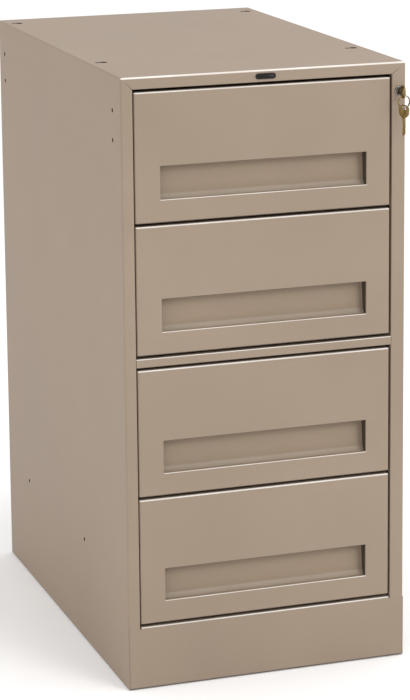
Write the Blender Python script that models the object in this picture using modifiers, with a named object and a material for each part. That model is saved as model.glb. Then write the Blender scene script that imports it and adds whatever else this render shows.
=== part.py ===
"""Four-drawer steel pedestal cabinet with ball-bearing slides, recessed pulls and a gang lock.

Units are metres. X runs to the right, Y to the back and Z up. The origin is the centre of the
bounding box, on the floor. The front face looks along -Y.
"""
import math

import bmesh
import bpy
from mathutils import Matrix, Vector

# Cabinet: driving dimensions ------------------------------------------------------------------
WIDTH = 0.4572
DEPTH = 0.7144
HEIGHT = 0.9588
SHEET = 0.0012
GAP = 0.0003
BEND = 0.0022
PANEL_BEND = 0.0020
FLOOR_CLEARANCE = 0.0015
LEFT_STILE = 0.0186
RIGHT_STILE = 0.0226
HEADER = 0.0190
STILE_RETURN = 0.012
REAR_FLANGE = 0.015
BACK_FLANGE = 0.012
RAIL_DEPTH = 0.022
PAN_SETBACK = 0.024
PAN_DROP = 0.010
NOTCH_PLAY = 0.0022
MITRE_SLIT = 0.00036
CHANNEL_WIDTH = 0.030
CHANNEL_BOTTOM = 0.010
CHANNEL_TOP = 0.028
CHANNEL_END = 0.016
UPRIGHT_WIDTH = 0.030
UPRIGHT_BACK = (0.048, 0.590)
UPRIGHT_DROP = 0.022
GLIDE_INSET = 0.016
GLIDE_BACK = (0.050, DEPTH - 0.050)
GLIDE_HEIGHT = 0.046
GLIDE_STEM = 0.0040
GLIDE_HOLE = 0.0046
GLIDE_FOOT = 0.0120

# Holes: the keyholes' heads are placed from a side and the front, the side holes from the front
# and the top or the floor.
KEYHOLE_HEAD = 0.0060
KEYHOLE_TAIL = 0.0032
KEYHOLE_TAIL_LENGTH = 0.0135
KEYHOLES_LEFT = ((0.0235, 0.1655), (0.0215, 0.6600))
KEYHOLES_RIGHT = ((0.0215, 0.6620), (0.0205, 0.1660))
SIDE_HOLE = 0.0033
SIDE_HOLE_BACKS = (0.0435, 0.6790)
SIDE_HOLE_DROPS = (0.0545, 0.1000)
LOW_HOLE_BACKS = (0.2385, 0.5780)
LOW_HOLE_HEIGHT = 0.172
CUT_PLAY = 0.005

# Nameplate
PLATE_WIDTH = 0.0324
PLATE_HEIGHT = 0.0088
PLATE_THICKNESS = 0.0012
PLATE_DROP = 0.0097

# Drawers
DRAWER_COUNT = 4
DRAWER_HEIGHT = 0.1998
SEAM = 0.0043
LEFT_SEAM = 0.0018
RIGHT_SEAM = 0.0031
DIVIDER_HEIGHT = 0.0140
DRAWERS_ABOVE_DIVIDER = 2
FRONT_DEPTH = 0.026
PULL_WIDTH = 0.3325
PULL_HEIGHT = 0.0510
PULL_BOTTOM = 0.0353
PULL_DEPTH = 0.0225
PULL_HEM = 0.0040
CUP_SHEET = 0.0010
CUP_PLAY = 0.0018
CUP_HEADROOM = 0.0090
CUP_RADIUS = 0.0060
CUP_LEAN = 0.0060
TRAY_LENGTH = 0.640
TRAY_HEIGHT = 0.150
TRAY_LIFT = 0.012
PLATE_MARGIN = 0.0015

# Slides: each member's web and lips, measured from the side of the opening, and half its height.
SLIDE_LENGTH = 0.610
SLIDE_THICKNESS = 0.0127
SLIDE_SETBACK = 0.004
SLIDE_LIFT = 0.070
SLIDE_MEMBERS = {
    "cabinet": (GAP, 0.0118, 0.0225),
    "middle": (0.0046, 0.0114, 0.0182),
    "drawer": (SLIDE_THICKNESS - GAP / 2, 0.0070, 0.0136),
}

# Lock
LOCK_INSET = 0.0110
LOCK_DROP = 0.0448
LOCK_HOLE = 0.0067
BEZEL_RADIUS = 0.0075
BEZEL_HEIGHT = 0.0022
BEZEL_BEVEL = 0.0007
BARREL_RADIUS = 0.0063
BARREL_LENGTH = 0.026
PLUG_RADIUS = 0.0048
PLUG_HEIGHT = 0.0020
PLUG_BEVEL = 0.0006
PLUG_PLAY = 0.0004
TAIL_RADIUS = 0.0030
KEYWAY_WIDTH = 0.0026
KEYWAY_HEIGHT = 0.0076
KEYWAY_DEPTH = 0.0245
NUT_RADIUS = 0.0090
NUT_THICKNESS = 0.0040
CAM_BACK = 0.0273
CAM_RADIUS = 0.0078
CAM_THICKNESS = 0.0020
CAM_REACH = 0.0055
CAM_PIN = 0.0015
CAM_PIN_LENGTH = 0.0060
BAR_BACK = 0.0315
BAR_THICKNESS = 0.0020
BAR_SIDE_PLAY = 0.0006
BAR_HALF_LEFT = 0.0010
BAR_ABOVE_LOCK = 0.010
BAR_FOOT_DROP = 0.045
HOOK_DROP = 0.030
HOOK_HEIGHT = 0.010
HOOK_PLAY = 0.0015
PIN_PLAY = 0.0005

# Keys and ring
KEY_THICKNESS = 0.0020
KEY_LENGTH = 0.0480
BOW_WIDTH = 0.0200
BOW_LENGTH = 0.0210
BOW_CORNER = 0.0055
BOW_WAIST = 0.0135
NECK_WIDTH = 0.0116
NECK_SLANT = 0.0012
SLOT_LENGTH = 0.0140
SLOT_HEIGHT = 0.0046
BRIDGE = 0.0022
BLADE_WIDTH = 0.0070
BLADE_STEP = 0.0006
TIP_SLANT = 0.0030
CUT_COUNT = 4
CUT_START = 0.0040
CUT_DEPTHS = (0.00084, 0.00112, 0.00140)
BOW_STANDOFF = 0.0032
RING_RADIUS = 0.0094
RING_WIRE = 0.0010
RING_TURN = math.radians(8)
SPARE_TURN = math.radians(-62)
SPARE_DROP = 0.0024

# Places worked out from them ------------------------------------------------------------------
KEY_REACH = BOW_STANDOFF + BOW_LENGTH
SLOT_REACH = KEY_REACH - BRIDGE - SLOT_HEIGHT / 2
FRONT_REACH = (SLOT_REACH - BOW_WIDTH / 2 * math.sin(SPARE_TURN)
               + KEY_THICKNESS / 2 * math.cos(SPARE_TURN))
LEFT = -WIDTH / 2
RIGHT = WIDTH / 2
FACE = (FRONT_REACH - DEPTH) / 2
REAR = FACE + DEPTH
INSIDE_LEFT = LEFT + SHEET + GAP
INSIDE_RIGHT = RIGHT - SHEET - GAP
INSIDE_REAR = REAR - SHEET - GAP
OPEN_LEFT = LEFT + LEFT_STILE
OPEN_RIGHT = RIGHT - RIGHT_STILE
OPEN_TOP = HEIGHT - HEADER
OPEN_CENTRE = (OPEN_LEFT + OPEN_RIGHT) / 2
DRAWER_LEFT = OPEN_LEFT + LEFT_SEAM
DRAWER_RIGHT = OPEN_RIGHT - RIGHT_SEAM
DRAWER_PITCH = DRAWER_HEIGHT + SEAM
DIVIDER_BOTTOM = OPEN_TOP - DRAWERS_ABOVE_DIVIDER * DRAWER_PITCH - SEAM - DIVIDER_HEIGHT
BASE_TOP = OPEN_TOP - DRAWER_COUNT * DRAWER_PITCH - DIVIDER_HEIGHT - 2 * SEAM
STILE_BOTTOM = BASE_TOP - 0.0025
PAN_TOP = BASE_TOP - PAN_DROP
SLIDE_START = FACE + FRONT_DEPTH + SLIDE_SETBACK
TRAY_FRONT = FACE + FRONT_DEPTH + GAP
LOCK_X = RIGHT - LOCK_INSET
LOCK_Z = HEIGHT - LOCK_DROP
LOCK_PLACE = Vector((LOCK_X, FACE, LOCK_Z))
PIN_OFFSET = CAM_REACH * math.sqrt(0.5)
KEYHOLE_PLACES = ([(LEFT + inset, FACE + back) for inset, back in KEYHOLES_LEFT]
                  + [(RIGHT - inset, FACE + back) for inset, back in KEYHOLES_RIGHT])
SIDE_HOLE_PLACES = ([(FACE + back, HEIGHT - drop) for back in SIDE_HOLE_BACKS for drop in SIDE_HOLE_DROPS]
                    + [(FACE + back, LOW_HOLE_HEIGHT) for back in LOW_HOLE_BACKS])
TOUCHING = 1e-5
FACING = 0.99

# Finishes: colour, roughness and metallic value.
FINISHES = {
    "paint": ((0.40, 0.33, 0.26), 0.42, 0.0),
    "inner_paint": ((0.36, 0.30, 0.23), 0.5, 0.0),
    "zinc": ((0.62, 0.63, 0.64), 0.35, 1.0),
    "nickel": ((0.70, 0.70, 0.69), 0.2, 1.0),
    "brass": ((0.66, 0.48, 0.20), 0.3, 1.0),
    "black": ((0.015, 0.014, 0.013), 0.3, 0.0),
    "nylon": ((0.05, 0.05, 0.05), 0.55, 0.0),
}


def clear_scene():
    for obj in list(bpy.data.objects):
        bpy.data.objects.remove(obj, do_unlink=True)


def new_collection(name):
    collection = bpy.data.collections.new(name)
    bpy.context.scene.collection.children.link(collection)
    return collection


clear_scene()
PARTS = new_collection("drawer_pedestal")
CUTTERS = new_collection("cutters")


# Tools ----------------------------------------------------------------------------------------
def new_material(name, colour, roughness, metallic):
    material = bpy.data.materials.new(name)
    material.use_nodes = True
    shader = material.node_tree.nodes["Principled BSDF"]
    shader.inputs["Base Color"].default_value = (*colour, 1.0)
    shader.inputs["Roughness"].default_value = roughness
    shader.inputs["Metallic"].default_value = metallic
    return material


def add_object(name, data, finish):
    """Link an object to the cabinet's collection, with a material of its own."""
    obj = bpy.data.objects.new(name, data)
    PARTS.objects.link(obj)
    data.materials.append(new_material(name + "_" + finish, *FINISHES[finish]))
    return obj


def mesh_data(name, mesh):
    """The bmesh's contents as mesh data; the bmesh is freed."""
    data = bpy.data.meshes.new(name)
    mesh.to_mesh(data)
    mesh.free()
    return data


def add_mesh(name, mesh, finish):
    return add_object(name, mesh_data(name, mesh), finish)


def add_cutter(name, mesh):
    cutter = bpy.data.objects.new(name, mesh_data(name, mesh))
    CUTTERS.objects.link(cutter)
    cutter.hide_render = True
    cutter.display_type = "WIRE"
    return cutter


def hang_on_joint(name, place, pieces):
    """Parent pieces that move together to an empty on their joint's axis, leaving them in place."""
    empty = bpy.data.objects.new(name, None)
    PARTS.objects.link(empty)
    empty.location = place
    for obj in pieces:
        obj.parent = empty
        obj.matrix_parent_inverse = Matrix.Translation(place).inverted()


def box_mesh(low, high):
    """A bmesh box between two corners, started from a unit cube."""
    low = Vector(low)
    high = Vector(high)
    mesh = bmesh.new()
    bmesh.ops.create_cube(mesh, size=1.0)
    place = Matrix.Translation((low + high) / 2) @ Matrix.Diagonal((*(high - low), 1.0))
    bmesh.ops.transform(mesh, matrix=place, verts=mesh.verts)
    return mesh


def add_box(mesh, low, high, turn=None, about=(0, 0, 0)):
    """Add a box to a bmesh, turned about a point by a matrix if one is given."""
    box = box_mesh(low, high)
    if turn:
        bmesh.ops.rotate(box, cent=about, matrix=turn, verts=box.verts)
    data = mesh_data("box", box)
    mesh.from_mesh(data)
    bpy.data.meshes.remove(data)


def add_cylinder(mesh, centre, radius, length, axis, sides=16):
    """Add a capped cylinder along X, Y or Z to a bmesh."""
    turn = {"X": Matrix.Rotation(math.pi / 2, 4, "Y"),
            "Y": Matrix.Rotation(math.pi / 2, 4, "X"),
            "Z": Matrix.Identity(4)}[axis]
    bmesh.ops.create_cone(mesh, cap_ends=True, segments=sides, radius1=radius, radius2=radius,
                          depth=length, matrix=Matrix.Translation(centre) @ turn)


def cylinder_mesh(centre, radius, length, axis, sides=16):
    mesh = bmesh.new()
    add_cylinder(mesh, centre, radius, length, axis, sides)
    return mesh


def drop_faces(mesh, sides):
    """Delete the faces that look along the given directions, such as '-Y' or '+Z'."""
    mesh.normal_update()
    doomed = []
    for face in mesh.faces:
        for side in sides:
            sign = 1 if side[0] == "+" else -1
            if face.normal["XYZ".index(side[1])] * sign > FACING:
                doomed.append(face)
    bmesh.ops.delete(mesh, geom=doomed, context="FACES")


def is_front(face):
    return face.normal.y < -FACING


def is_rear(face):
    return face.normal.y > FACING


def score(mesh, face_test, cuts):
    """Divide the faces that pass the test along planes given as (point, normal)."""
    mesh.normal_update()
    for point, normal in cuts:
        faces = [face for face in mesh.faces if face_test(face)]
        geometry = set(faces)
        for face in faces:
            geometry.update(face.edges)
            geometry.update(face.verts)
        bmesh.ops.bisect_plane(mesh, geom=list(geometry), plane_co=point, plane_no=normal)


def fold_back(mesh, edges, depth):
    """Extrude boundary edges straight back and point the skin's faces outwards."""
    grown = bmesh.ops.extrude_edge_only(mesh, edges=edges)["geom"]
    moved = [item for item in grown if isinstance(item, bmesh.types.BMVert)]
    bmesh.ops.translate(mesh, verts=moved, vec=(0, depth, 0))
    bmesh.ops.recalc_face_normals(mesh, faces=mesh.faces)
    if sum(face.calc_area() * face.normal.y for face in mesh.faces if abs(face.normal.y) > FACING
           and face.calc_center_median().y < FACE + TOUCHING) > 0:
        bmesh.ops.reverse_faces(mesh, faces=mesh.faces)


def add_bends(obj, radius, segments=2):
    bend = obj.modifiers.new("bends", "BEVEL")
    bend.width = radius
    bend.segments = segments
    bend.limit_method = "ANGLE"
    bend.angle_limit = math.radians(30)
    bend.use_clamp_overlap = True


def add_thickness(obj, thickness=SHEET, offset=-1.0):
    """Give an open skin its sheet thickness, inwards with offset -1 and outwards with 1."""
    wall = obj.modifiers.new("sheet", "SOLIDIFY")
    wall.thickness = thickness
    wall.offset = offset
    wall.use_even_offset = True


def add_boolean(obj, other, operation="DIFFERENCE"):
    cut = obj.modifiers.new(operation.lower(), "BOOLEAN")
    cut.operation = operation
    cut.object = other
    cut.solver = "EXACT"


def folded_box(name, low, high, open_sides, finish, radius=0.0):
    """Folded sheet metal: a box whose open sides are left out and whose edges are bent."""
    mesh = box_mesh(low, high)
    drop_faces(mesh, open_sides)
    obj = add_mesh(name, mesh, finish)
    if radius:
        add_bends(obj, radius)
    add_thickness(obj)
    return obj


def turned(name, profile, finish, location, axis="Y", steps=24):
    """A turned piece: profile points are (radius, height along the axis, which is -Y or +Z)."""
    data = bpy.data.meshes.new(name)
    points = [(radius, 0.0, along) for radius, along in profile]
    edges = [(i, i + 1) for i in range(len(points) - 1)]
    if profile[0][0] > 0:
        edges.append((len(points) - 1, 0))
    data.from_pydata(points, edges, [])
    obj = add_object(name, data, finish)
    obj.location = location
    obj.rotation_euler = (math.pi / 2 if axis == "Y" else 0.0, 0.0, 0.0)
    screw = obj.modifiers.new("turn", "SCREW")
    screw.steps = steps
    screw.render_steps = steps
    screw.use_merge_vertices = True
    screw.merge_threshold = 0.00001
    return obj


# Cabinet --------------------------------------------------------------------------------------
def make_shell():
    """One sheet bent into both sides and the top, with a face frame and rear flanges."""
    mesh = box_mesh((LEFT, FACE, FLOOR_CLEARANCE), (RIGHT, REAR, HEIGHT))
    drop_faces(mesh, ["-Z"])
    score(mesh, is_front, [((OPEN_LEFT, 0, 0), (1, 0, 0)), ((OPEN_RIGHT, 0, 0), (1, 0, 0)),
                           ((0, 0, OPEN_TOP), (0, 0, 1)), ((0, 0, STILE_BOTTOM), (0, 0, 1))])
    score(mesh, is_rear, [((LEFT + REAR_FLANGE, 0, 0), (1, 0, 0)),
                          ((RIGHT - REAR_FLANGE, 0, 0), (1, 0, 0)),
                          ((0, 0, HEIGHT - REAR_FLANGE), (0, 0, 1))])
    doomed = [face for face in mesh.faces if is_shell_opening(face)]
    bmesh.ops.delete(mesh, geom=doomed, context="FACES")
    fold_back(mesh, [edge for edge in mesh.edges if frames_opening(edge)], STILE_RETURN)
    shell = add_mesh("cabinet_shell", mesh, "paint")
    add_bends(shell, BEND, 3)
    add_thickness(shell)
    add_boolean(shell, add_cutter("shell_slot_cuts", shell_slot_cuts()))
    add_boolean(shell, add_cutter("shell_round_cuts", shell_round_cuts()))


def is_shell_opening(face):
    """True for the front faces inside the face frame or below it, and for the open back."""
    centre = face.calc_center_median()
    in_frame = OPEN_LEFT < centre.x < OPEN_RIGHT and centre.z < OPEN_TOP
    below_stile = centre.z < STILE_BOTTOM
    in_back = abs(centre.x) < WIDTH / 2 - REAR_FLANGE and centre.z < HEIGHT - REAR_FLANGE
    return (is_front(face) and (in_frame or below_stile)) or (is_rear(face) and in_back)


def frames_opening(edge):
    """True for the front boundary edges that run round the drawer opening."""
    middle = (edge.verts[0].co + edge.verts[1].co) / 2
    if not edge.is_boundary or abs(middle.y - FACE) > TOUCHING or middle.z < STILE_BOTTOM + TOUCHING:
        return False
    on_stile = min(abs(middle.x - OPEN_LEFT), abs(middle.x - OPEN_RIGHT)) < TOUCHING
    return on_stile or abs(middle.z - OPEN_TOP) < TOUCHING


def shell_round_cuts():
    """Through holes in both sides, the round heads of the top keyholes, and the lock's hole."""
    mesh = bmesh.new()
    for y, z in SIDE_HOLE_PLACES:
        add_cylinder(mesh, (0, y, z), SIDE_HOLE, WIDTH + 2 * CUT_PLAY, "X", 12)
    for x, y in KEYHOLE_PLACES:
        add_cylinder(mesh, (x, y, HEIGHT), KEYHOLE_HEAD, 2 * CUT_PLAY, "Z")
    add_cylinder(mesh, LOCK_PLACE, LOCK_HOLE, 2 * CUT_PLAY, "Y", 20)
    return mesh


def shell_slot_cuts():
    """Keyhole tails, which run to the left, and the mitre slits of the face frame."""
    mesh = bmesh.new()
    for x, y in KEYHOLE_PLACES:
        add_box(mesh, (x - KEYHOLE_TAIL_LENGTH, y - KEYHOLE_TAIL, HEIGHT - CUT_PLAY),
                (x, y + KEYHOLE_TAIL, HEIGHT + CUT_PLAY))
    for corner_x, stile in ((OPEN_LEFT, -LEFT_STILE), (OPEN_RIGHT, RIGHT_STILE)):
        reach = math.hypot(stile, HEADER) - 2 * BEND
        lean = math.atan2(stile, HEADER)
        add_box(mesh, (corner_x - MITRE_SLIT / 2, FACE - 0.002, OPEN_TOP - 0.001),
                (corner_x + MITRE_SLIT / 2, FACE + STILE_RETURN + 0.002, OPEN_TOP + reach),
                Matrix.Rotation(lean, 3, "Y"), (corner_x, FACE, OPEN_TOP))
    return mesh


def make_cabinet_panels():
    folded_box("back_panel", (INSIDE_LEFT, INSIDE_REAR - BACK_FLANGE, FLOOR_CLEARANCE),
               (INSIDE_RIGHT, INSIDE_REAR, HEIGHT - SHEET - GAP), ["-Y"], "paint", PANEL_BEND)
    folded_box("bottom_pan", (INSIDE_LEFT, FACE + PAN_SETBACK, PAN_TOP - PAN_DROP),
               (INSIDE_RIGHT, INSIDE_REAR - BACK_FLANGE - 2 * GAP, PAN_TOP), ["-Z"],
               "inner_paint", PANEL_BEND)
    folded_box("divider_rail", (OPEN_LEFT + GAP, FACE, DIVIDER_BOTTOM),
               (OPEN_RIGHT - GAP, FACE + RAIL_DEPTH, DIVIDER_BOTTOM + DIVIDER_HEIGHT),
               ["+Y", "-X", "+X"], "paint", PANEL_BEND)


def make_base_front():
    """The plinth's front channel, notched at both ends to pass under the stiles."""
    panel = folded_box("base_front_panel", (INSIDE_LEFT, FACE, FLOOR_CLEARANCE),
                       (INSIDE_RIGHT, FACE + RAIL_DEPTH, BASE_TOP), ["+Y", "-X", "+X"], "paint", BEND)
    notches = bmesh.new()
    for end, corner in ((LEFT - CUT_PLAY, OPEN_LEFT + NOTCH_PLAY), (OPEN_RIGHT - NOTCH_PLAY, RIGHT + CUT_PLAY)):
        add_box(notches, (end, FACE - CUT_PLAY, STILE_BOTTOM - GAP),
                (corner, FACE + RAIL_DEPTH + CUT_PLAY, BASE_TOP + CUT_PLAY))
    add_boolean(panel, add_cutter("base_notches", notches))


def make_base_channels():
    """Inverted channels along the foot of each side, which carry the levelling glides."""
    for side, name, low_x in ((-1, "left", INSIDE_LEFT), (1, "right", INSIDE_RIGHT - CHANNEL_WIDTH)):
        channel = folded_box("base_channel_" + name, (low_x, FACE + PAN_SETBACK, CHANNEL_BOTTOM),
                             (low_x + CHANNEL_WIDTH, REAR - CHANNEL_END, CHANNEL_TOP),
                             ["-Z", "-Y", "+Y"], "inner_paint", PANEL_BEND)
        holes = bmesh.new()
        for back in GLIDE_BACK:
            add_cylinder(holes, (side * (WIDTH / 2 - GLIDE_INSET), FACE + back, CHANNEL_TOP),
                         GLIDE_HOLE, 4 * CUT_PLAY, "Z")
        add_boolean(channel, add_cutter("glide_holes_" + name, holes))


def make_glides():
    """Levelling glides: a nylon foot with a domed upper side, on a plain stem."""
    profile = [(0.0, GLIDE_HEIGHT), (GLIDE_STEM, GLIDE_HEIGHT), (GLIDE_STEM, 0.0085),
               (0.7 * GLIDE_FOOT, 0.0080), (0.96 * GLIDE_FOOT, 0.0055), (GLIDE_FOOT, 0.0020),
               (0.88 * GLIDE_FOOT, 0.0), (0.0, 0.0)]
    for side, side_name in ((-1, "left"), (1, "right")):
        for back, place_name in zip(GLIDE_BACK, ("front", "rear")):
            turned("glide_" + place_name + "_" + side_name, profile, "nylon",
                   (side * (WIDTH / 2 - GLIDE_INSET), FACE + back, 0.0), "Z", 16)


def make_uprights():
    """Vertical channels inside the sides, to which the slides are screwed."""
    for side_name, low_x, high_x, open_side in (("left", INSIDE_LEFT, OPEN_LEFT, "-X"),
                                                ("right", OPEN_RIGHT, INSIDE_RIGHT, "+X")):
        for back, place_name in zip(UPRIGHT_BACK, ("front", "rear")):
            folded_box("upright_" + place_name + "_" + side_name,
                       (low_x, FACE + back, PAN_TOP + GAP),
                       (high_x, FACE + back + UPRIGHT_WIDTH, HEIGHT - UPRIGHT_DROP),
                       [open_side, "-Z", "+Z"], "inner_paint", PANEL_BEND)


def make_nameplate():
    """A blank plate with round ends at the middle of the header."""
    middle = HEIGHT - PLATE_DROP
    mesh = box_mesh((-PLATE_WIDTH / 2, FACE - GAP - PLATE_THICKNESS, middle - PLATE_HEIGHT / 2),
                    (PLATE_WIDTH / 2, FACE - GAP, middle + PLATE_HEIGHT / 2))
    ends = [edge for edge in mesh.edges if abs(edge.verts[0].co.y - edge.verts[1].co.y) > TOUCHING]
    bmesh.ops.bevel(mesh, geom=ends, offset=PLATE_HEIGHT / 2 - 0.0001, segments=6,
                    affect="EDGES", profile=0.5)
    add_mesh("nameplate", mesh, "black")


# Drawers --------------------------------------------------------------------------------------
def drawer_bottom(index):
    """Height of the lower edge of a drawer front, counting from the top."""
    drop = SEAM + DRAWER_HEIGHT + index * DRAWER_PITCH
    if index >= DRAWERS_ABOVE_DIVIDER:
        drop += DIVIDER_HEIGHT + SEAM
    return OPEN_TOP - drop


def make_drawer_front(name, bottom):
    """A pan with a rectangular opening for the pull, whose edge is hemmed backwards."""
    low_x = OPEN_CENTRE - PULL_WIDTH / 2
    high_x = OPEN_CENTRE + PULL_WIDTH / 2
    low_z = bottom + PULL_BOTTOM
    high_z = low_z + PULL_HEIGHT
    mesh = box_mesh((DRAWER_LEFT, FACE, bottom),
                    (DRAWER_RIGHT, FACE + FRONT_DEPTH, bottom + DRAWER_HEIGHT))
    drop_faces(mesh, ["+Y"])
    score(mesh, is_front, [((low_x, 0, 0), (1, 0, 0)), ((high_x, 0, 0), (1, 0, 0)),
                           ((0, 0, low_z), (0, 0, 1)), ((0, 0, high_z), (0, 0, 1))])
    opening = next(face for face in mesh.faces if is_front(face)
                   and low_x < face.calc_center_median().x < high_x
                   and low_z < face.calc_center_median().z < high_z)
    rim = list(opening.edges)
    bmesh.ops.delete(mesh, geom=[opening], context="FACES_ONLY")
    fold_back(mesh, rim, PULL_HEM)
    front = add_mesh(name + "_front", mesh, "paint")
    add_bends(front, PANEL_BEND)
    add_thickness(front)
    return front


def make_pull_cup(name, bottom):
    """A scoop behind the pull opening: its back leans, deeper at the top, and it is open in front."""
    low = (OPEN_CENTRE - PULL_WIDTH / 2 - CUP_PLAY, FACE + SHEET + 3 * GAP,
           bottom + PULL_BOTTOM - CUP_PLAY)
    high = (OPEN_CENTRE + PULL_WIDTH / 2 + CUP_PLAY, FACE + PULL_DEPTH,
            bottom + PULL_BOTTOM + PULL_HEIGHT + CUP_HEADROOM)
    mesh = box_mesh(low, high)
    drop_faces(mesh, ["-Y"])
    rear = [vert for vert in mesh.verts if vert.co.y > low[1] + TOUCHING]
    for vert in rear:
        if vert.co.z < low[2] + TOUCHING:
            vert.co.y -= CUP_LEAN
    long_edges = [edge for edge in mesh.edges if edge.verts[0] in rear and edge.verts[1] in rear
                  and abs(edge.verts[0].co.x - edge.verts[1].co.x) > TOUCHING]
    bmesh.ops.bevel(mesh, geom=long_edges, offset=CUP_RADIUS, segments=3, affect="EDGES", profile=0.5)
    cup = add_mesh(name + "_pull_cup", mesh, "paint")
    add_thickness(cup, CUP_SHEET, 1.0)
    return cup


def make_tray(name, bottom):
    """The drawer box, open at the top, welded to a panel that closes the front's back."""
    half = (OPEN_RIGHT - OPEN_LEFT) / 2 - SLIDE_THICKNESS - GAP
    low_z = bottom + TRAY_LIFT
    tray = folded_box(name + "_tray", (OPEN_CENTRE - half, TRAY_FRONT, low_z),
                      (OPEN_CENTRE + half, TRAY_FRONT + TRAY_LENGTH, low_z + TRAY_HEIGHT), ["+Z"],
                      "inner_paint")
    plate = box_mesh((DRAWER_LEFT + PLATE_MARGIN, TRAY_FRONT, bottom + PLATE_MARGIN),
                     (DRAWER_RIGHT - PLATE_MARGIN, TRAY_FRONT + SHEET,
                      bottom + DRAWER_HEIGHT - PLATE_MARGIN))
    add_boolean(tray, add_cutter(name + "_back_plate", plate), "UNION")
    return tray


def make_slide_members(name, bottom, member):
    """One member of the slides on both sides of a drawer: a channel along Y, its lips inwards."""
    web, lip, half_height = SLIDE_MEMBERS[member]
    middle = bottom + TRAY_LIFT + SLIDE_LIFT
    made = []
    for side_name, side_x, inward in (("left", OPEN_LEFT, 1), ("right", OPEN_RIGHT, -1)):
        ends = sorted((side_x + inward * web, side_x + inward * lip))
        open_side = "+X" if (lip - web) * inward > 0 else "-X"
        made.append(folded_box(name + "_" + member + "_slide_" + side_name,
                               (ends[0], SLIDE_START, middle - half_height),
                               (ends[1], SLIDE_START + SLIDE_LENGTH, middle + half_height),
                               [open_side, "-Y", "+Y"], "zinc"))
    return made


def make_drawers():
    for index in range(DRAWER_COUNT):
        name = "drawer_" + str(index + 1)
        bottom = drawer_bottom(index)
        make_slide_members(name, bottom, "cabinet")
        place = (OPEN_CENTRE, FACE, bottom)
        hang_on_joint(name + "_middle_slide_joint", place, make_slide_members(name, bottom, "middle"))
        moving = [make_drawer_front(name, bottom), make_pull_cup(name, bottom), make_tray(name, bottom)]
        hang_on_joint(name + "_joint", place, moving + make_slide_members(name, bottom, "drawer"))


# Lock -----------------------------------------------------------------------------------------
def make_lock_housing():
    """The bezel and the barrel behind it, with a bore for the plug."""
    bore = PLUG_RADIUS + PLUG_PLAY
    turned("lock_housing", [(BEZEL_RADIUS - BEZEL_BEVEL, BEZEL_HEIGHT),
                            (BEZEL_RADIUS, BEZEL_HEIGHT - BEZEL_BEVEL), (BEZEL_RADIUS, GAP),
                            (BARREL_RADIUS, GAP), (BARREL_RADIUS, -BARREL_LENGTH),
                            (bore, -BARREL_LENGTH), (bore, BEZEL_HEIGHT)], "nickel", LOCK_PLACE)


def make_lock_plug():
    """The turning plug, cut for the key, with a thinner tail for the cam."""
    plug = turned("lock_plug", [(0.0, PLUG_HEIGHT), (PLUG_RADIUS - PLUG_BEVEL, PLUG_HEIGHT),
                                (PLUG_RADIUS, PLUG_HEIGHT - PLUG_BEVEL), (PLUG_RADIUS, GAP - CAM_BACK),
                                (TAIL_RADIUS, GAP - CAM_BACK), (TAIL_RADIUS, GAP - BAR_BACK),
                                (0.0, GAP - BAR_BACK)], "nickel", LOCK_PLACE)
    half = Vector((KEYWAY_WIDTH / 2, 0, KEYWAY_HEIGHT / 2))
    keyway = box_mesh(LOCK_PLACE - half - Vector((0, CUT_PLAY, 0)),
                      LOCK_PLACE + half + Vector((0, KEYWAY_DEPTH, 0)))
    add_boolean(plug, add_cutter("keyway", keyway))
    return plug


def make_lock_nut():
    """The hexagon nut that clamps the lock behind the stile."""
    centre = LOCK_PLACE + Vector((0, SHEET + GAP + NUT_THICKNESS / 2, 0))
    nut = add_mesh("lock_nut", cylinder_mesh(centre, NUT_RADIUS, NUT_THICKNESS, "Y", 6), "zinc")
    bore = cylinder_mesh(centre, BARREL_RADIUS + GAP, 4 * CUT_PLAY, "Y", 24)
    add_boolean(nut, add_cutter("nut_bore", bore))


def make_cam():
    """The crank on the plug's tail, whose pin lifts the lock bar."""
    near = LOCK_PLACE + Vector((0, CAM_BACK, 0))
    disc = cylinder_mesh(near + Vector((0, CAM_THICKNESS / 2, 0)), CAM_RADIUS, CAM_THICKNESS, "Y", 24)
    cam = add_mesh("lock_cam", disc, "zinc")
    pin_centre = near + Vector((PIN_OFFSET, CAM_THICKNESS / 2 + CAM_PIN_LENGTH / 2, -PIN_OFFSET))
    pin = cylinder_mesh(pin_centre, CAM_PIN, CAM_PIN_LENGTH, "Y", 12)
    add_boolean(cam, add_cutter("cam_pin", pin), "UNION")
    bore = cylinder_mesh(near, TAIL_RADIUS + GAP, 4 * CUT_PLAY, "Y", 24)
    add_boolean(cam, add_cutter("cam_bore", bore))
    return cam


def make_lock_bar():
    """A flat bar behind the right stile, slotted for the cam's pin, with one hook a drawer."""
    left = LOCK_X - BAR_HALF_LEFT
    near = FACE + BAR_BACK
    far = near + BAR_THICKNESS
    low_z = drawer_bottom(DRAWER_COUNT - 1) + DRAWER_HEIGHT - BAR_FOOT_DROP
    blank = box_mesh((left, near, low_z),
                     (RIGHT - SHEET - BAR_SIDE_PLAY, far, LOCK_Z + BAR_ABOVE_LOCK))
    bar = add_mesh("lock_bar", blank, "zinc")
    hooks = bmesh.new()
    for index in range(DRAWER_COUNT):
        top = drawer_bottom(index) + DRAWER_HEIGHT - HOOK_DROP
        add_box(hooks, (OPEN_RIGHT + HOOK_PLAY, near, top - HOOK_HEIGHT), (left + BAR_THICKNESS, far, top))
    add_boolean(bar, add_cutter("bar_hooks", hooks), "UNION")
    play = CAM_PIN + PIN_PLAY
    slot = box_mesh((LOCK_X + PIN_OFFSET - play, near - CUT_PLAY, LOCK_Z - PIN_OFFSET - play),
                    (LOCK_X + CAM_REACH + play, far + CUT_PLAY, LOCK_Z - PIN_OFFSET + play))
    add_boolean(bar, add_cutter("bar_slot", slot))
    return bar


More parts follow.
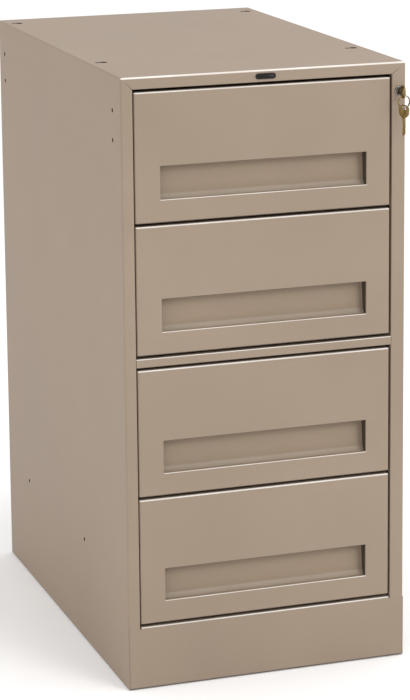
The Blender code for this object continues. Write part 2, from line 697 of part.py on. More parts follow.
def make_lock():
    make_lock_housing()
    make_lock_nut()
    hang_on_joint("lock_turn_joint", LOCK_PLACE, [make_lock_plug(), make_cam()])
    hang_on_joint("lock_bar_joint", LOCK_PLACE + Vector((0, BAR_BACK, 0)), [make_lock_bar()])


# Keys -----------------------------------------------------------------------------------------
def arc(centre_x, centre_y, radius, start, end, steps=4):
    """Points of an arc between two angles in degrees, both ends included."""
    angles = [math.radians(start + (end - start) * step / steps) for step in range(steps + 1)]
    return [(centre_x + radius * math.cos(angle), centre_y + radius * math.sin(angle)) for angle in angles]


def key_outline():
    """The key's edge in its own plane: the bow's top at Y = 0 and the tip at Y = -KEY_LENGTH."""
    half = BOW_WIDTH / 2
    neck = NECK_WIDTH / 2
    blade = BLADE_WIDTH / 2
    shoulder = -BOW_LENGTH
    points = arc(half - BOW_CORNER, -BOW_CORNER, BOW_CORNER, 0, 90)
    points += arc(BOW_CORNER - half, -BOW_CORNER, BOW_CORNER, 90, 180)
    points += [(-half, -BOW_WAIST), (-neck, shoulder + NECK_SLANT), (-blade, shoulder - BLADE_STEP)]
    cut_pitch = (KEY_LENGTH - BOW_LENGTH - 2 * CUT_START) / CUT_COUNT
    for cut in range(CUT_COUNT):
        top = shoulder - CUT_START - cut * cut_pitch
        points.append((-blade, top))
        points.append((-blade + CUT_DEPTHS[cut % len(CUT_DEPTHS)], top - cut_pitch * 0.45))
    points += [(-blade, TIP_SLANT - KEY_LENGTH), (-blade / 4, -KEY_LENGTH), (blade / 3, -KEY_LENGTH)]
    points += [(blade, TIP_SLANT - KEY_LENGTH), (blade, shoulder - BLADE_STEP)]
    points += [(neck, shoulder + NECK_SLANT), (half, -BOW_WAIST)]
    return points


def slot_outline():
    """The wide slot near the bow's top, with round ends, through which the ring passes."""
    radius = SLOT_HEIGHT / 2
    reach = SLOT_LENGTH / 2 - radius
    middle = -BRIDGE - radius
    return arc(reach, middle, radius, -90, 90) + arc(-reach, middle, radius, 90, 270)


def make_key(name, place):
    """A key cut from flat brass, as a filled 2D curve with the slot as an inner loop."""
    curve = bpy.data.curves.new(name, "CURVE")
    curve.dimensions = "2D"
    curve.fill_mode = "BOTH"
    curve.extrude = KEY_THICKNESS / 2
    for outline in (key_outline(), slot_outline()):
        spline = curve.splines.new("POLY")
        spline.points.add(len(outline) - 1)
        for point, (x, y) in zip(spline.points, outline):
            point.co = (x, y, 0.0, 1.0)
        spline.use_cyclic_u = True
    key = add_object(name, curve, "brass")
    key.matrix_basis = place
    return key


def ring_mesh(major_steps=32, wire_steps=8):
    """A ring about Z: a circle of the wire's radius, spun round the ring's circle."""
    mesh = bmesh.new()
    section = Matrix.Translation((RING_RADIUS, 0, 0)) @ Matrix.Rotation(math.pi / 2, 4, "X")
    rim = bmesh.ops.create_circle(mesh, cap_ends=False, segments=wire_steps, radius=RING_WIRE,
                                  matrix=section)
    edges = list({edge for vert in rim["verts"] for edge in vert.link_edges})
    bmesh.ops.spin(mesh, geom=list(rim["verts"]) + edges, cent=(0, 0, 0), axis=(0, 0, 1),
                   angle=2 * math.pi, steps=major_steps, use_merge=True)
    bmesh.ops.remove_doubles(mesh, verts=mesh.verts, dist=0.00002)
    bmesh.ops.recalc_face_normals(mesh, faces=mesh.faces)
    return mesh


def make_keys():
    """One key in the lock, a ring through its slot, and a spare key that hangs from the ring."""
    edge_on = Matrix(((0, 0, 1, 0), (0, -1, 0, 0), (1, 0, 0, 0), (0, 0, 0, 1)))
    bow_end = LOCK_PLACE - Vector((0, KEY_REACH, 0))
    key = make_key("key_in_lock", Matrix.Translation(bow_end) @ edge_on)
    hang_on_joint("key_pull_joint", LOCK_PLACE, [key])

    ring_top = LOCK_Z - SLOT_LENGTH / 2 + RING_WIRE + 2 * GAP
    ring_centre = Vector((LOCK_X, FACE - SLOT_REACH, ring_top - RING_RADIUS))
    ring = add_mesh("key_ring", ring_mesh(), "brass")
    ring.location = ring_centre
    ring.rotation_euler = (math.pi / 2, 0.0, RING_TURN)
    strip = LOCK_Z - (SLOT_LENGTH + BOW_WIDTH) / 4
    hang_on_joint("ring_swing_joint", (LOCK_X, FACE - SLOT_REACH, strip), [ring])

    bow_top = ring_centre + Vector((0, 0, SPARE_DROP + BRIDGE - RING_RADIUS))
    hanging = Matrix.Rotation(SPARE_TURN, 4, "Z") @ Matrix.Rotation(math.pi / 2, 4, "X")
    spare = make_key("spare_key", Matrix.Translation(bow_top) @ hanging)
    hang_on_joint("spare_key_swing_joint", bow_top - Vector((0, 0, BRIDGE / 2)), [spare])


make_shell()
make_cabinet_panels()
make_base_front()
make_base_channels()
make_glides()
make_uprights()
make_nameplate()
make_drawers()
make_lock()
make_keys()
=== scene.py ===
"""A four-drawer steel pedestal cabinet in tan enamel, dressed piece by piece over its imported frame."""

import bmesh
import bpy
import numpy as np
from math import cos, pi, radians, sin
from mathutils import Matrix, Vector


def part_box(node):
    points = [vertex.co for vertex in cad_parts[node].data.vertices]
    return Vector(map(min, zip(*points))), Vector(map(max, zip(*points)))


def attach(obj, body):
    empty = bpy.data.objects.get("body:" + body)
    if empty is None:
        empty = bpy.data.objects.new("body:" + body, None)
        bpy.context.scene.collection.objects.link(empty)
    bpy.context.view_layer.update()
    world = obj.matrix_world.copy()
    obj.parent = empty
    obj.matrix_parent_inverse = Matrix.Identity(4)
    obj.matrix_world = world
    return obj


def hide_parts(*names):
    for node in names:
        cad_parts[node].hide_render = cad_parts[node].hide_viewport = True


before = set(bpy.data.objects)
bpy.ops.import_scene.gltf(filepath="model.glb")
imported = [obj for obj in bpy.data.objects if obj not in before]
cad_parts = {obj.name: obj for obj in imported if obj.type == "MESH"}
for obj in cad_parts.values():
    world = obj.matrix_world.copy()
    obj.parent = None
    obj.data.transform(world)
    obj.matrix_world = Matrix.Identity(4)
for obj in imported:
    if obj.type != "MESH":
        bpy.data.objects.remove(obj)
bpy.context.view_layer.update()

# ---- Wrapper -----------------------------------------------------------------------------------------
# The two sides and the top are one sheet of 1.2 mm cold-rolled steel, folded down at both long edges.
# Its front border folds in again as stiles and a header with mitred corners, its back border as a flange.
# Hang holes are punched through it after the enamel is baked; their walls are raw steel, painted near black
# as the shade inside the holes.

SHEET = 0.0012
shell_low, shell_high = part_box("cabinet_shell")
LEFT, FACE, FLOOR = shell_low
RIGHT, REAR, TOP = shell_high
LEFT_STILE = 0.0186
RIGHT_STILE = 0.0226
HEADER = 0.0190
STILE_BOTTOM = 0.0983
STILE_RETURN = 0.012
REAR_FLANGE = 0.015
LONG_EDGE_RADIUS = 0.0036
FRONT_EDGE_RADIUS = 0.0034
RETURN_RADIUS = 0.0012
MITRE_GAP = 0.0007
MITRE_RADIUS = 0.0004
TINY_RADIUS = 0.00002
SUPPORT = 0.0012


class Wire:
    """One socket in a material. Arithmetic on it adds Math nodes, and node() adds any other kind of node."""

    def __init__(self, tree, socket=None):
        self.tree = tree
        self.socket = socket

    def node(self, kind, settings=None, inputs=None, output=0):
        """A new node: its settings are set first, then its sockets to values or links; gives one output."""
        made = self.tree.nodes.new(kind)
        for key, value in (settings or {}).items():
            setattr(made, key, value)
        for key, value in (inputs or {}).items():
            if isinstance(value, Wire):
                self.tree.links.new(value.socket, made.inputs[key])
            else:
                made.inputs[key].default_value = value
        return Wire(self.tree, made.outputs[output])

    def math(self, operation, *values):
        return self.node("ShaderNodeMath", {"operation": operation}, dict(enumerate(values)))

    def __add__(self, other):
        return self.math("ADD", self, other)

    def __radd__(self, other):
        return self.math("ADD", other, self)

    def __sub__(self, other):
        return self.math("SUBTRACT", self, other)

    def __rsub__(self, other):
        return self.math("SUBTRACT", other, self)

    def __mul__(self, other):
        return self.math("MULTIPLY", self, other)

    def __rmul__(self, other):
        return self.math("MULTIPLY", other, self)

    def __abs__(self):
        return self.math("ABSOLUTE", self)

    def rise(self, start, end):
        """0 below start and 1 above end, with a smooth step between."""
        inputs = {"Value": self, "From Min": start, "From Max": end}
        return self.node("ShaderNodeMapRange", {"interpolation_type": "SMOOTHSTEP"}, inputs)

    def noise(self, scale, detail=2.0, roughness=0.5):
        """Fractal noise at a number of waves per metre along this vector."""
        inputs = {"Vector": self, "Scale": scale, "Detail": detail, "Roughness": roughness}
        return self.node("ShaderNodeTexNoise", None, inputs)

    def stretched(self, x, y, z):
        """This vector with each axis scaled by itself."""
        return self.node("ShaderNodeMapping", None, {"Vector": self, "Scale": (x, y, z)})

    def axis(self, index):
        """One coordinate of this vector."""
        return self.node("ShaderNodeSeparateXYZ", None, {"Vector": self}, index)

    def blend(self, low, high):
        """The colour low where this value is 0 and high where it is 1."""
        return self.node("ShaderNodeMix", {"data_type": "RGBA"}, {0: self, 6: low, 7: high}, 2)


def start_material(name):
    """A new material, its Principled node, and a Wire that carries the piece's own coordinates in metres."""
    material = bpy.data.materials.new(name)
    material.use_nodes = True
    tree = material.node_tree
    shader = next(n for n in tree.nodes if n.type == "BSDF_PRINCIPLED")
    place = Wire(tree).node("ShaderNodeTexCoord", output=3)
    return material, shader, place


def feed(shader, **sockets):
    """Sets or links the shader's sockets; an underscore in a name stands for a space."""
    for name, value in sockets.items():
        socket = shader.inputs[name.replace("_", " ")]
        if isinstance(value, Wire):
            value.tree.links.new(value.socket, socket)
        else:
            socket.default_value = value


def baked_enamel(name, colour, roughness=0.44, peel=1.0, highlight_share=0.85, painted_end_shade=0.0):
    """Satin baked enamel: orange peel as fine noise in the normal, a broad drift of tone from the spray gun,
    a tight mottle, and a few long hair scratches where stretched noise is near its middle. Folds that face
    up and forward get a painted highlight: a pale base colour, and smoother too, where the surface normal
    has both a -Y and a +Z share. Faces that look down get painted shade, and so, by the last argument, do
    walls that face sideways."""
    material, shader, place = start_material(name)
    drift = place.noise(3.2, 3.0)
    mottle = place.noise(420.0, 2.0, 0.6)
    patches = place.noise(11.0, 3.0, 0.55)
    streak = place.stretched(1.0, 1.0, 0.06).noise(900.0, 1.0) - 0.5
    hair = (1 - abs(streak).rise(0.0, 0.012)) * patches.rise(0.60, 0.68)
    tone = drift * 0.16 + mottle * 0.06 + patches * 0.05 + hair * 0.05
    dark = (*(c * 0.88 for c in colour), 1)
    light = (*(c * 1.12 for c in colour), 1)
    facing = place.node("ShaderNodeNewGeometry", output=1)
    up, front = facing.axis(2), 0 - facing.axis(1)
    # Painted highlight: folds that face up and forward are made pale in the base colour, and smoother.
    painted_highlight = up.rise(0.14, 0.45) * front.rise(0.14, 0.45) * (0.55 + patches * 0.9) * highlight_share
    # Painted shade: walls that face sideways are darkened, as strongly as the last argument asks.
    sideways = abs(facing.axis(0)).rise(0.5, 0.9) * painted_end_shade
    # The pale colour is the painted highlight on the folds that face up and forward.
    paint = painted_highlight.blend(tone.rise(0.02, 0.30).blend(dark, light), (0.80, 0.76, 0.70, 1))
    # Painted shade: faces that look down are darkened, with a patchy strength.
    painted_underside_shade = (0 - up).rise(0.15, 0.60) * (0.45 + patches * 0.4)
    # Both painted shades darken the paint towards an eighth of its own colour.
    paint = (sideways + painted_underside_shade).blend(paint, (*(c * 0.12 for c in colour), 1))
    grain = place.noise(1150.0, 2.0, 0.55)
    ripple = place.noise(260.0, 1.0)
    bump = place.node(
        "ShaderNodeBump",
        None,
        {"Strength": 0.55, "Distance": 0.00004 * peel, "Height": grain * 0.6 + ripple * 0.4},
    )
    feed(
        shader,
        Base_Color=paint,
        Roughness=roughness + (drift - 0.5) * 0.10 + (grain - 0.5) * 0.06 - painted_highlight * 0.16,
        Normal=bump,
        IOR=1.22,
    )
    return material


TAN = (0.318, 0.247, 0.187)
tan_enamel = baked_enamel("tan_enamel", TAN)


def grid_quads(rows, columns, close_rows=False, close_columns=False):
    """Quads of a grid numbered row by row; a closed direction also joins its last line to its first."""
    row = np.arange(rows if close_rows else rows - 1)[:, None]
    column = np.arange(columns if close_columns else columns - 1)[None, :]
    next_row, next_column = (row + 1) % rows, (column + 1) % columns
    corners = [row * columns + column, row * columns + next_column]
    corners += [next_row * columns + next_column, next_row * columns + column]
    return np.stack(np.broadcast_arrays(*corners), axis=-1)


def put_in_mesh(name, grids):
    """One mesh from several grids. Each is (points, close_rows, close_columns, kept faces or None); points
    of neighbouring faces that coincide are merged and faces with no area are dropped."""
    points, quads, start = [], [], 0
    for grid, close_rows, close_columns, kept in grids:
        faces = grid_quads(grid.shape[0], grid.shape[1], close_rows, close_columns)
        faces = faces.reshape(-1, 4) if kept is None else faces[kept]
        points.append(grid.reshape(-1, 3))
        quads.append(faces + start)
        start += grid.shape[0] * grid.shape[1]
    mesh = bpy.data.meshes.new(name)
    mesh.from_pydata(np.concatenate(points).tolist(), [], np.concatenate(quads).tolist())
    work = bmesh.new()
    work.from_mesh(mesh)
    bmesh.ops.remove_doubles(work, verts=work.verts, dist=1e-6)
    bmesh.ops.dissolve_degenerate(work, edges=work.edges, dist=1e-6)
    loose = [v for v in work.verts if not v.link_faces]
    bmesh.ops.delete(work, geom=loose, context="VERTS")
    work.to_mesh(mesh)
    work.free()
    return mesh


def outward(mesh):
    """Turns the faces of a closed mesh to point outwards."""
    work = bmesh.new()
    work.from_mesh(mesh)
    bmesh.ops.recalc_face_normals(work, faces=work.faces)
    work.to_mesh(mesh)
    work.free()
    return mesh


def add_wall(sheet, wall):
    """Gives a sheet its wall, behind its outer face."""
    thick = sheet.modifiers.new("wall", "SOLIDIFY")
    thick.thickness, thick.offset, thick.use_even_offset = wall, -1.0, True


def worked_mesh(made):
    """An object's mesh with its modifiers worked in."""
    bpy.context.view_layer.update()
    return bpy.data.meshes.new_from_object(made.evaluated_get(bpy.context.evaluated_depsgraph_get()))


def piece(name, mesh, material, body, nodes, wall=0.0, crease=32.0):
    """An object from a finished mesh: a sheet gets its wall, smooth bends meet flat faces without a
    shading seam, and it rides its body in place of the frame's own nodes."""
    made = bpy.data.objects.new(name, mesh)
    bpy.context.scene.collection.objects.link(made)
    if not mesh.materials:
        mesh.materials.append(material)
    if wall:
        add_wall(made, wall)
        solid = worked_mesh(made)
        made.modifiers.clear()
        made.data = solid
        solid.name = name
    made.data.shade_smooth()
    made.data.set_sharp_from_angle(angle=radians(crease))
    even = made.modifiers.new("even_shading", "WEIGHTED_NORMAL")
    even.keep_sharp = True
    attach(made, body)
    if nodes:
        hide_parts(*nodes)


def quarter(radius, steps, start, end):
    """Offsets of an arc of that radius about its centre, from one angle in degrees to another."""
    angle = np.radians(np.linspace(start, end, steps + 1))
    return radius * np.cos(angle), radius * np.sin(angle)


RETURN_STEPS = 5
EDGE_STEPS = 7
FACE_SHARES = (0.93, 0.06)
REAR_SHARE = 0.10
FRONT_ROWS = 1 + (RETURN_STEPS + 1) + len(FACE_SHARES) + EDGE_STEPS
ARC_POINTS = 5


def wrapper_rows():
    """The front-to-back profile of the folded border: for each row its y, its fixed inset from the outer
    face, and how much of the stile or flange width it has used."""
    rows = [(FACE + STILE_RETURN, FRONT_EDGE_RADIUS + RETURN_RADIUS, 1.0)]
    for inset, y in zip(*quarter(RETURN_RADIUS, RETURN_STEPS, 0, -90)):
        rows += [(FACE + RETURN_RADIUS + y, FRONT_EDGE_RADIUS + inset, 1.0)]
    rows += [(FACE, FRONT_EDGE_RADIUS, share) for share in FACE_SHARES]
    for inset, y in zip(*quarter(FRONT_EDGE_RADIUS, EDGE_STEPS, -90, -180)):
        rows += [(FACE + FRONT_EDGE_RADIUS + y, FRONT_EDGE_RADIUS + inset, 0.0)]
    rows += [(FACE + FRONT_EDGE_RADIUS + SUPPORT, 0.0, 0.0), (REAR - FRONT_EDGE_RADIUS - SUPPORT, 0.0, 0.0)]
    for inset, y in zip(*quarter(FRONT_EDGE_RADIUS, 6, 180, 90)):
        rows += [(REAR - FRONT_EDGE_RADIUS + y, FRONT_EDGE_RADIUS + inset, 0.0)]
    rows += [(REAR, FRONT_EDGE_RADIUS, REAR_SHARE), (REAR, FRONT_EDGE_RADIUS, 1.0)]
    return np.array(rows)


def wrapper_mesh():
    """Rows of wrapper_rows carried round the sides and top. Each row is an upside-down U inset on its left,
    top and right by its own widths, its corners rounded by what the inset leaves of the long edge's radius.
    The front rows are cut open along the mitres, which widen inwards, and end at the foot of the stiles."""
    rows = wrapper_rows()
    y, inset, share = (rows[:, i][:, None] for i in range(3))
    front = (np.arange(len(rows)) < FRONT_ROWS)[:, None]
    fixed = FRONT_EDGE_RADIUS + RETURN_RADIUS * front
    left = LEFT + inset + share * (np.where(front, LEFT_STILE, REAR_FLANGE) - fixed)
    right = RIGHT - inset - share * (np.where(front, RIGHT_STILE, REAR_FLANGE) - fixed)
    top = TOP - inset - share * (np.where(front, HEADER, REAR_FLANGE) - fixed)
    radius = np.maximum(LONG_EDGE_RADIUS - inset, TINY_RADIUS)
    radius = np.where(share > 0, np.minimum(radius, TINY_RADIUS + (1 - share) * MITRE_RADIUS), radius)
    legs = np.array([[FLOOR, STILE_BOTTOM - SUPPORT, STILE_BOTTOM, STILE_BOTTOM, STILE_BOTTOM + SUPPORT]])
    slant = 0.7 * MITRE_GAP / 2 * np.where(front, np.clip(share * 1.15 - 0.15, 0, 1), 0)
    arcs = ((180, left + radius, -1, -1), (135, left + radius, 1, 1),
            (90, right - radius, -1, 1), (45, right - radius, 1, -1))
    columns = [(left + 0 * legs, legs + 0 * left)]
    for first, centre, sideways, upwards in arcs:
        angle = np.radians(np.linspace(first, first - 45, ARC_POINTS))[None, :]
        columns.append((centre + radius * np.cos(angle) + sideways * slant,
                        top - radius + radius * np.sin(angle) + upwards * slant))
    columns.append((right + 0 * legs, legs[:, ::-1] + 0 * right))
    x, z = (np.concatenate(parts, axis=1) for parts in zip(*columns))
    foot = np.zeros(x.shape[1], bool)
    foot[[0, 1, 2, -3, -2, -1]] = True
    skirt = front & foot
    x = np.where(skirt, np.where(x < 0, LEFT, RIGHT), x)
    depth = np.where(skirt, np.where(share > 0, FACE, np.minimum(y, FACE + inset)), y)
    kept = np.ones((len(rows) - 1, x.shape[1] - 1), bool)
    feet = [2, -3]
    mitres = [legs.size + ARC_POINTS - 1, legs.size + 3 * ARC_POINTS - 1]
    kept[:FRONT_ROWS - 1, feet + mitres] = False
    return put_in_mesh("wrapper", [(np.stack([x, depth, z], axis=-1), False, False, kept)])


KEYHOLE_HEAD = 0.0060
KEYHOLE_TAIL = 0.0032
KEYHOLE_LENGTH = 0.0135
KEYHOLES = [(LEFT + 0.0235, FACE + 0.1655), (LEFT + 0.0215, FACE + 0.660)]
KEYHOLES += [(RIGHT - 0.0215, FACE + 0.662), (RIGHT - 0.0205, FACE + 0.166)]
SIDE_HOLE = 0.0033
SIDE_HOLES = [(0.0435, TOP - 0.0545), (0.0435, TOP - 0.100), (0.679, TOP - 0.0545), (0.679, TOP - 0.100)]
SIDE_HOLES += [(0.2385, 0.172), (0.578, 0.172)]
LOCK_X, LOCK_Z = RIGHT - 0.0110, TOP - 0.0448
LOCK_HOLE = 0.0066
TOP_PUNCH = 0.006
SIDE_PUNCH = 0.004


def hole_shade_steel():
    """The raw wall of a punched hole: steel streaked through the sheet by the punch, its colour near black as
    painted shade inside the hole.
    """
    material, shader, place = start_material("hole_shade_steel")
    streaks = place.stretched(1.0, 1.0, 0.1).noise(900.0, 2.0)
    # Near-black colour: painted shade inside the holes.
    feed(shader, Base_Color=streaks.blend((0.010, 0.008, 0.006, 1), (0.030, 0.024, 0.018, 1)), Metallic=0.4,
         Roughness=0.55 + streaks * 0.2)
    return material


def keyhole_loop():
    """Three quarters of a round head, then the half circle that ends the tail."""
    head = np.radians(np.linspace(-150, 150, 25))
    tail = np.radians(np.linspace(90, 270, 13))
    end = KEYHOLE_TAIL - KEYHOLE_LENGTH
    return np.concatenate([
        KEYHOLE_HEAD * np.stack([np.cos(head), np.sin(head)], axis=-1),
        KEYHOLE_TAIL * np.stack([np.cos(tail), np.sin(tail)], axis=-1) + (end, 0),
    ])


def round_loop(radius, sides=28):
    """A circle."""
    angle = np.linspace(0, 2 * pi, sides, endpoint=False)
    return radius * np.stack([np.cos(angle), np.sin(angle)], axis=-1)


def punch_grid(loop, centre, axis, start, end):
    """A closed loop carried along an axis, each end drawn in to its middle."""
    loops = np.stack([loop * 0, loop, loop, loop * 0]) + centre
    along = np.broadcast_to(np.array([start, start, end, end])[:, None], loops.shape[:2])
    order = {"x": (along, loops[..., 0], loops[..., 1]), "y": (loops[..., 0], along, loops[..., 1]),
             "z": (loops[..., 0], loops[..., 1], along)}
    return np.stack(order[axis], axis=-1), False, True, None


def punched(name, mesh, wall, punches, finish, hole_shade_finish):
    """The sheet with its wall, and the punches cut out of it, whose walls take the dark finish of painted
    hole shade.
    """
    sheet = bpy.data.objects.new(name, mesh)
    mesh.materials.append(finish)
    tool = bpy.data.objects.new("punches", outward(put_in_mesh("punches", punches)))
    tool.data.materials.append(hole_shade_finish)
    bpy.context.scene.collection.objects.link(sheet)
    bpy.context.scene.collection.objects.link(tool)
    add_wall(sheet, wall)
    cut = sheet.modifiers.new("holes", "BOOLEAN")
    cut.operation, cut.solver, cut.object = "DIFFERENCE", "EXACT", tool
    cut.material_mode = "TRANSFER"
    made = worked_mesh(sheet)
    bpy.data.objects.remove(sheet)
    bpy.data.objects.remove(tool)
    return made


punches = [punch_grid(keyhole_loop(), place, "z", TOP - TOP_PUNCH, TOP + TOP_PUNCH) for place in KEYHOLES]
for back, height in SIDE_HOLES:
    for side in (LEFT, RIGHT):
        place = (FACE + back, height)
        punches.append(punch_grid(round_loop(SIDE_HOLE), place, "x", side - SIDE_PUNCH, side + SIDE_PUNCH))
lock_hole = punch_grid(round_loop(LOCK_HOLE), (LOCK_X, LOCK_Z), "y", FACE - SIDE_PUNCH, FACE + SIDE_PUNCH)
punches.append(lock_hole)
wrapper_sheet = punched("wrapper", wrapper_mesh(), SHEET, punches, tan_enamel, hole_shade_steel())
piece("wrapper", wrapper_sheet, tan_enamel, "cabinet", ("cabinet_shell",))

# ---- Plinth front, rail and back panel ---------------------------------------------------------------
# A folded channel closes the plinth under the stiles, a smaller one crosses the opening between the
# second and third drawers, and a shallow pan is welded in behind the back flange.

BASE_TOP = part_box("base_front_panel")[1].z
OPEN_LEFT, OPEN_RIGHT = LEFT + LEFT_STILE, RIGHT - RIGHT_STILE
PLINTH_DEPTH = 0.022
FOLD_RADIUS = 0.0022
RAIL_RADIUS = 0.0016
PAN_CORNER = 0.004
PAN_MIDDLE = 0.2270
NOTCH_PLAY = 0.0022
FITTING_GAP = 0.0003


def folded_line(corners, radius, steps=6, support=SUPPORT):
    """A folded line: straight runs between the corners, each corner an arc tangent to both of its runs,
    and a point a little way into each run, so that the flats stay flat in shading."""
    corners = np.asarray(corners, float)
    radii = np.broadcast_to(radius, len(corners) - 2)
    line = [corners[:1]]
    share = np.linspace(0, 1, steps + 1)[:, None]
    for before, here, after, bend in zip(corners, corners[1:], corners[2:], radii):
        back = (before - here) / np.linalg.norm(before - here)
        on = (after - here) / np.linalg.norm(after - here)
        half = np.arccos(np.clip(back @ on, -1, 1)) / 2
        reach, turn = bend / np.tan(half), pi - 2 * half
        middle = here + (back + on) / np.linalg.norm(back + on) * bend / np.sin(half)
        start, end = here + back * reach - middle, here + on * reach - middle
        arc = (np.sin((1 - share) * turn) * start + np.sin(share * turn) * end) / np.sin(turn)
        line += [(here + back * (reach + support))[None], middle + arc, (here + on * (reach + support))[None]]
    return np.concatenate(line + [corners[-1:]])


def carried(profile, stations, axis):
    """A profile carried straight along an axis: rows follow the profile, columns the stations."""
    profile = np.asarray(profile, float)
    along = np.broadcast_to(np.asarray(stations, float)[None, :], (len(profile), len(stations)))
    first = np.broadcast_to(profile[:, :1], along.shape)
    second = np.broadcast_to(profile[:, 1:2], along.shape)
    order = {"x": (along, first, second), "y": (first, along, second), "z": (first, second, along)}
    return np.stack(order[axis], axis=-1)


def plinth_front():
    """A channel profile carried across, its upper fold cut away at both ends below the stiles."""
    back = FACE + PLINTH_DEPTH
    corners = [(back, FLOOR), (FACE, FLOOR), (FACE, STILE_BOTTOM - FITTING_GAP)]
    lower = folded_line(corners, FOLD_RADIUS)
    upper = folded_line([(FACE, STILE_BOTTOM), (FACE, BASE_TOP), (back, BASE_TOP)], FOLD_RADIUS, support=0.0)
    profile = np.concatenate([lower, upper[2:]])
    ends = LEFT + SHEET + FITTING_GAP, RIGHT - SHEET - FITTING_GAP
    stations = [ends[0], OPEN_LEFT + NOTCH_PLAY, OPEN_RIGHT - NOTCH_PLAY, ends[1]]
    kept = np.ones((len(profile) - 1, 3), bool)
    kept[len(lower) - 1:, [0, 2]] = False
    return put_in_mesh("plinth_front", [(carried(profile, stations, "x"), False, False, kept)])


def cross_rail():
    """A channel profile, open behind, carried across the opening from stile to stile."""
    low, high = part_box("divider_rail")
    corners = [(high.y, low.z), (FACE, low.z), (FACE, high.z), (high.y, high.z)]
    profile = folded_line(corners, RAIL_RADIUS, support=0.0006)
    return put_in_mesh("cross_rail", [(carried(profile, [low.x, high.x], "x"), False, False, None)])


def ring(left, right, bottom, top, radius, steps):
    """Rounded rectangles, one a row, each counter-clockwise from its lower left corner: four arcs of the
    row's radius about centres that lie that radius inside the corners, joined by straight runs."""
    left, right, bottom, top, radius = np.broadcast_arrays(
        *(np.atleast_1d(np.asarray(v, float)) for v in (left, right, bottom, top, radius))
    )
    arcs = []
    for x, z, first in ((left + radius, bottom + radius, 180), (right - radius, bottom + radius, 270),
                        (right - radius, top - radius, 0), (left + radius, top - radius, 90)):
        angle = np.radians(np.linspace(first, first + 90, steps + 1))[None, :]
        arcs.append(np.stack([x[:, None] + radius[:, None] * np.cos(angle),
                              z[:, None] + radius[:, None] * np.sin(angle)], axis=-1))
    return np.concatenate(arcs, axis=1)


def set_back(flat, y):
    """Flat (x, z) loops, one a row, each row set at its own y."""
    depth = np.broadcast_to(np.reshape(y, (-1, 1)), flat.shape[:2])
    return np.stack([flat[..., 0], depth, flat[..., 1]], axis=-1)


def back_pan():
    """Rounded rectangles from the pan's rim, round its fold and across its flat to the middle."""
    low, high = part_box("back_panel")
    arc_y, arc_in = quarter(FOLD_RADIUS, 6, 0, 90)
    y = [low.y] + list(high.y - FOLD_RADIUS + arc_in) + [high.y, high.y]
    inset = [0.0] + list(FOLD_RADIUS - arc_y) + [FOLD_RADIUS + SUPPORT, PAN_MIDDLE]
    y, inset = np.array(y), np.array(inset)
    radius = np.maximum(PAN_CORNER - inset, 0.0002)
    flat = ring(low.x + inset, high.x - inset, low.z + inset, high.z - inset, radius, 4)[:, ::-1]
    return put_in_mesh("back_pan", [(set_back(flat, y), False, True, None)])


piece("plinth_front", plinth_front(), tan_enamel, "cabinet", ("base_front_panel",), SHEET)
piece("cross_rail", cross_rail(), tan_enamel, "cabinet", ("divider_rail",), SHEET)
piece("back_pan", back_pan(), tan_enamel, "cabinet", ("back_panel",), SHEET)

# ---- Inner frame -------------------------------------------------------------------------------------
# Roll-formed uprights inside the sides carry the slides, channels along the foot carry the glides, and a
# pan is the cabinet's floor. They get a darker copy of the same enamel, patchy in tone, whose darkness is
# painted shade for the inside of the cabinet.

# A darker copy of the tan enamel: its colour is painted shade for the cabinet's inside, and its folds keep a
# weak painted highlight.
inner_enamel = baked_enamel("inner_enamel", (0.285, 0.217, 0.152), 0.48, 0.8, 0.3)
INNER_NODES = ["bottom_pan"] + [f"base_channel_{side}" for side in ("left", "right")]
INNER_NODES += [f"upright_{end}_{side}" for end in ("front", "rear") for side in ("left", "right")]


def coat(nodes, finish):
    """Gives the frame's own nodes a finish."""
    for node in nodes:
        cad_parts[node].data.materials.clear()
        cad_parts[node].data.materials.append(finish)


coat(INNER_NODES, inner_enamel)

# ---- Slides ------------------------------------------------------------------------------------------
# Three-part ball-bearing slides, roll-formed from zinc-plated strip: the cabinet member is screwed to the
# uprights, the drawer member to the drawer, and caged steel balls run above and below the middle member.

SLIDE_WALL = 0.0012
SHOULDER_RADIUS = 0.0022
BALL_PITCH = 0.0125
BALL_COUNT = 11
CAGE_LEAD = 0.006
RACES = {
    "outer": {"reach": 0.01975, "ball": 0.00150, "cage": 0.0040, "start": 0.33},
    "inner": {"reach": 0.0153, "ball": 0.00160, "cage": 0.0036, "start": 0.02},
}


def zinc_plate(name, along):
    """Bright zinc over rolled strip: fine drawing lines are noise stretched along the strip, with cloudy
    patches from the passivation in colour and roughness, and dull smears of old grease."""
    material, shader, place = start_material(name)
    lines = place.stretched(*along).noise(1400.0, 2.0)
    cloud = place.noise(38.0, 3.0, 0.6)
    smear = place.stretched(1.0, 0.25, 1.0).noise(60.0, 3.0).rise(0.55, 0.75)
    bump = place.node("ShaderNodeBump", None, {"Strength": 0.35, "Distance": 0.00002, "Height": lines})
    feed(
        shader,
        Base_Color=cloud.rise(0.3, 0.7).blend((0.41, 0.42, 0.44, 1), (0.51, 0.51, 0.49, 1)),
        Metallic=1.0,
        Roughness=0.30 + cloud * 0.10 + lines * 0.10 + smear * 0.18,
        Normal=bump,
    )
    return material


zinc_strip = zinc_plate("zinc_steel", (1.0, 0.02, 1.0))


def bearing_steel():
    """Ground balls: nearly a mirror, with a faint film of grease in the roughness."""
    material, shader, place = start_material("bearing_steel")
    film = place.noise(700.0, 2.0)
    feed(shader, Base_Color=film.blend((0.62, 0.62, 0.63, 1), (0.70, 0.70, 0.70, 1)), Metallic=1.0,
         Roughness=0.10 + film * 0.12)
    return material


ball_steel = bearing_steel()


